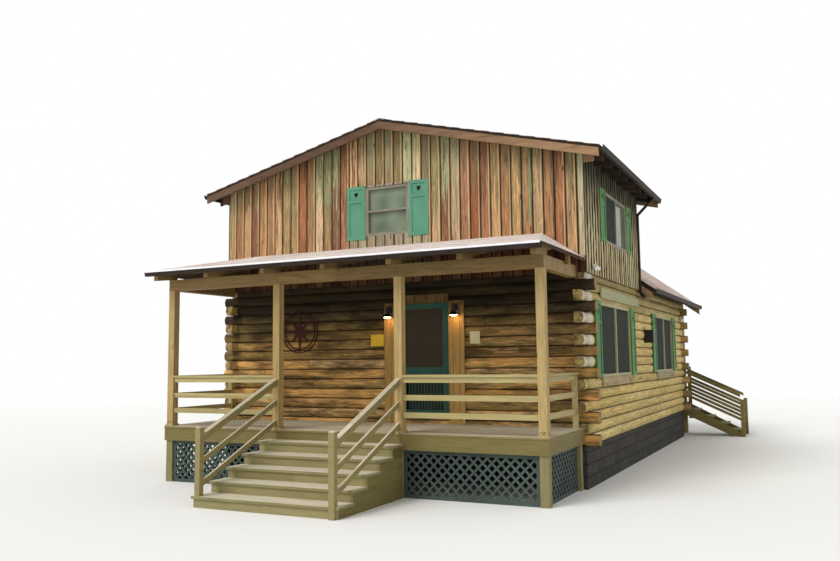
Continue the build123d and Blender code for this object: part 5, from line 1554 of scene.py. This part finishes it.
@dataclass
class Studio:
    """Pale floor, soft light and the photograph's camera."""

    eye: Point = (7.2878, -13.4019, 2.1239)
    yaw: float = 26.333
    pitch: float = 5.642
    roll: float = -0.674
    lens: float = 34.957
    sensor: float = 36.0
    reach: float = 400.0
    middle: Point = (0.0, 3.5, 0.0)
    floor_radius: float = 120.0
    fade: tuple[float, float] = (16.0, 38.0)
    floor_tone: str = "#e4e3df"
    sky: float = 0.78
    sun: float = 1.9
    sun_softness: float = math.radians(28)
    sun_from: Point = (-0.35, -0.75, 0.95)

    def floor(self) -> None:
        """Lay a pale floor that fades to white far out."""
        deselect()
        bpy.ops.mesh.primitive_circle_add(vertices=64, radius=self.floor_radius, fill_type="NGON",
                                          location=self.middle)
        ground = named("floor")
        material = bpy.data.materials.new("studio_floor")
        node = builder(material)
        place = node("TexCoord").outputs["Object"]
        far = node("MapRange", node("VectorMath DISTANCE", place, self.middle), *self.fade)
        matt = node("BsdfDiffuse", Color=self.floor_tone)
        white = node("Emission", Color="#ffffff", Strength=1.0)
        seen = node("Math MULTIPLY", far, node("LightPath"))
        mix = node("MixShader", seen, matt, white)
        node("OutputMaterial", mix)
        ground.data.materials.append(material)

    def light(self) -> None:
        """A soft sun from the front, high up, and an even sky."""
        world = bpy.data.worlds.new("studio_sky")
        bpy.context.scene.world = world
        node = builder(world)
        path = node("LightPath")
        clear = node("Math MAXIMUM", path, path.outputs["Is Transmission Ray"])
        sky = node("Background", "#ffffff", node("MapRange", clear, 0.0, 1.0, self.sky, 1.0))
        node("OutputWorld", sky)
        bpy.ops.object.light_add(type="SUN", location=(0, 0, 20))
        sun = bpy.context.object
        sun.data.energy, sun.data.angle = self.sun, self.sun_softness
        sun.rotation_euler = Vector(self.sun_from).to_track_quat("Z", "Y").to_euler()

    def camera(self) -> None:
        """Stand the camera where the photograph was taken."""
        yaw, pitch, roll = (math.radians(angle) for angle in (self.yaw, self.pitch, self.roll))
        level = Vector((-math.sin(yaw), math.cos(yaw), 0))
        right = Vector((math.cos(yaw), math.sin(yaw), 0))
        rise = Vector((0, 0, 1))
        ahead = level * math.cos(pitch) + rise * math.sin(pitch)
        up = rise * math.cos(pitch) - level * math.sin(pitch)
        side = right * math.cos(roll) + up * math.sin(roll)
        top = up * math.cos(roll) - right * math.sin(roll)
        bpy.ops.object.camera_add()
        eye = bpy.context.object
        turn = Matrix((side, top, -ahead)).transposed().to_4x4()
        eye.matrix_world = Matrix.Translation(self.eye) @ turn
        eye.data.lens, eye.data.sensor_width, eye.data.clip_end = self.lens, self.sensor, self.reach
        bpy.context.scene.camera = eye

    def build(self) -> None:
        """Set the stage."""
        self.floor()
        self.light()
        self.camera()
        bpy.context.scene.view_settings.view_transform = "Standard"


def main() -> None:
    """Build the cabin's pieces round its frame."""
    logging.basicConfig(level=logging.INFO, format="%(name)s: %(message)s")
    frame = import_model()
    nodes = frame["nodes"]
    for assembly in (LogShell, BoardedStorey, ShingledRoofs, Porch, FrontSteps, Doorway, Windows, RoofTrim,
                     BackStair, Ornaments):
        assembly(nodes).build()
        LOG.info("%s done", assembly.__name__)
    Studio().build()


if __name__ == "__main__":
    main()
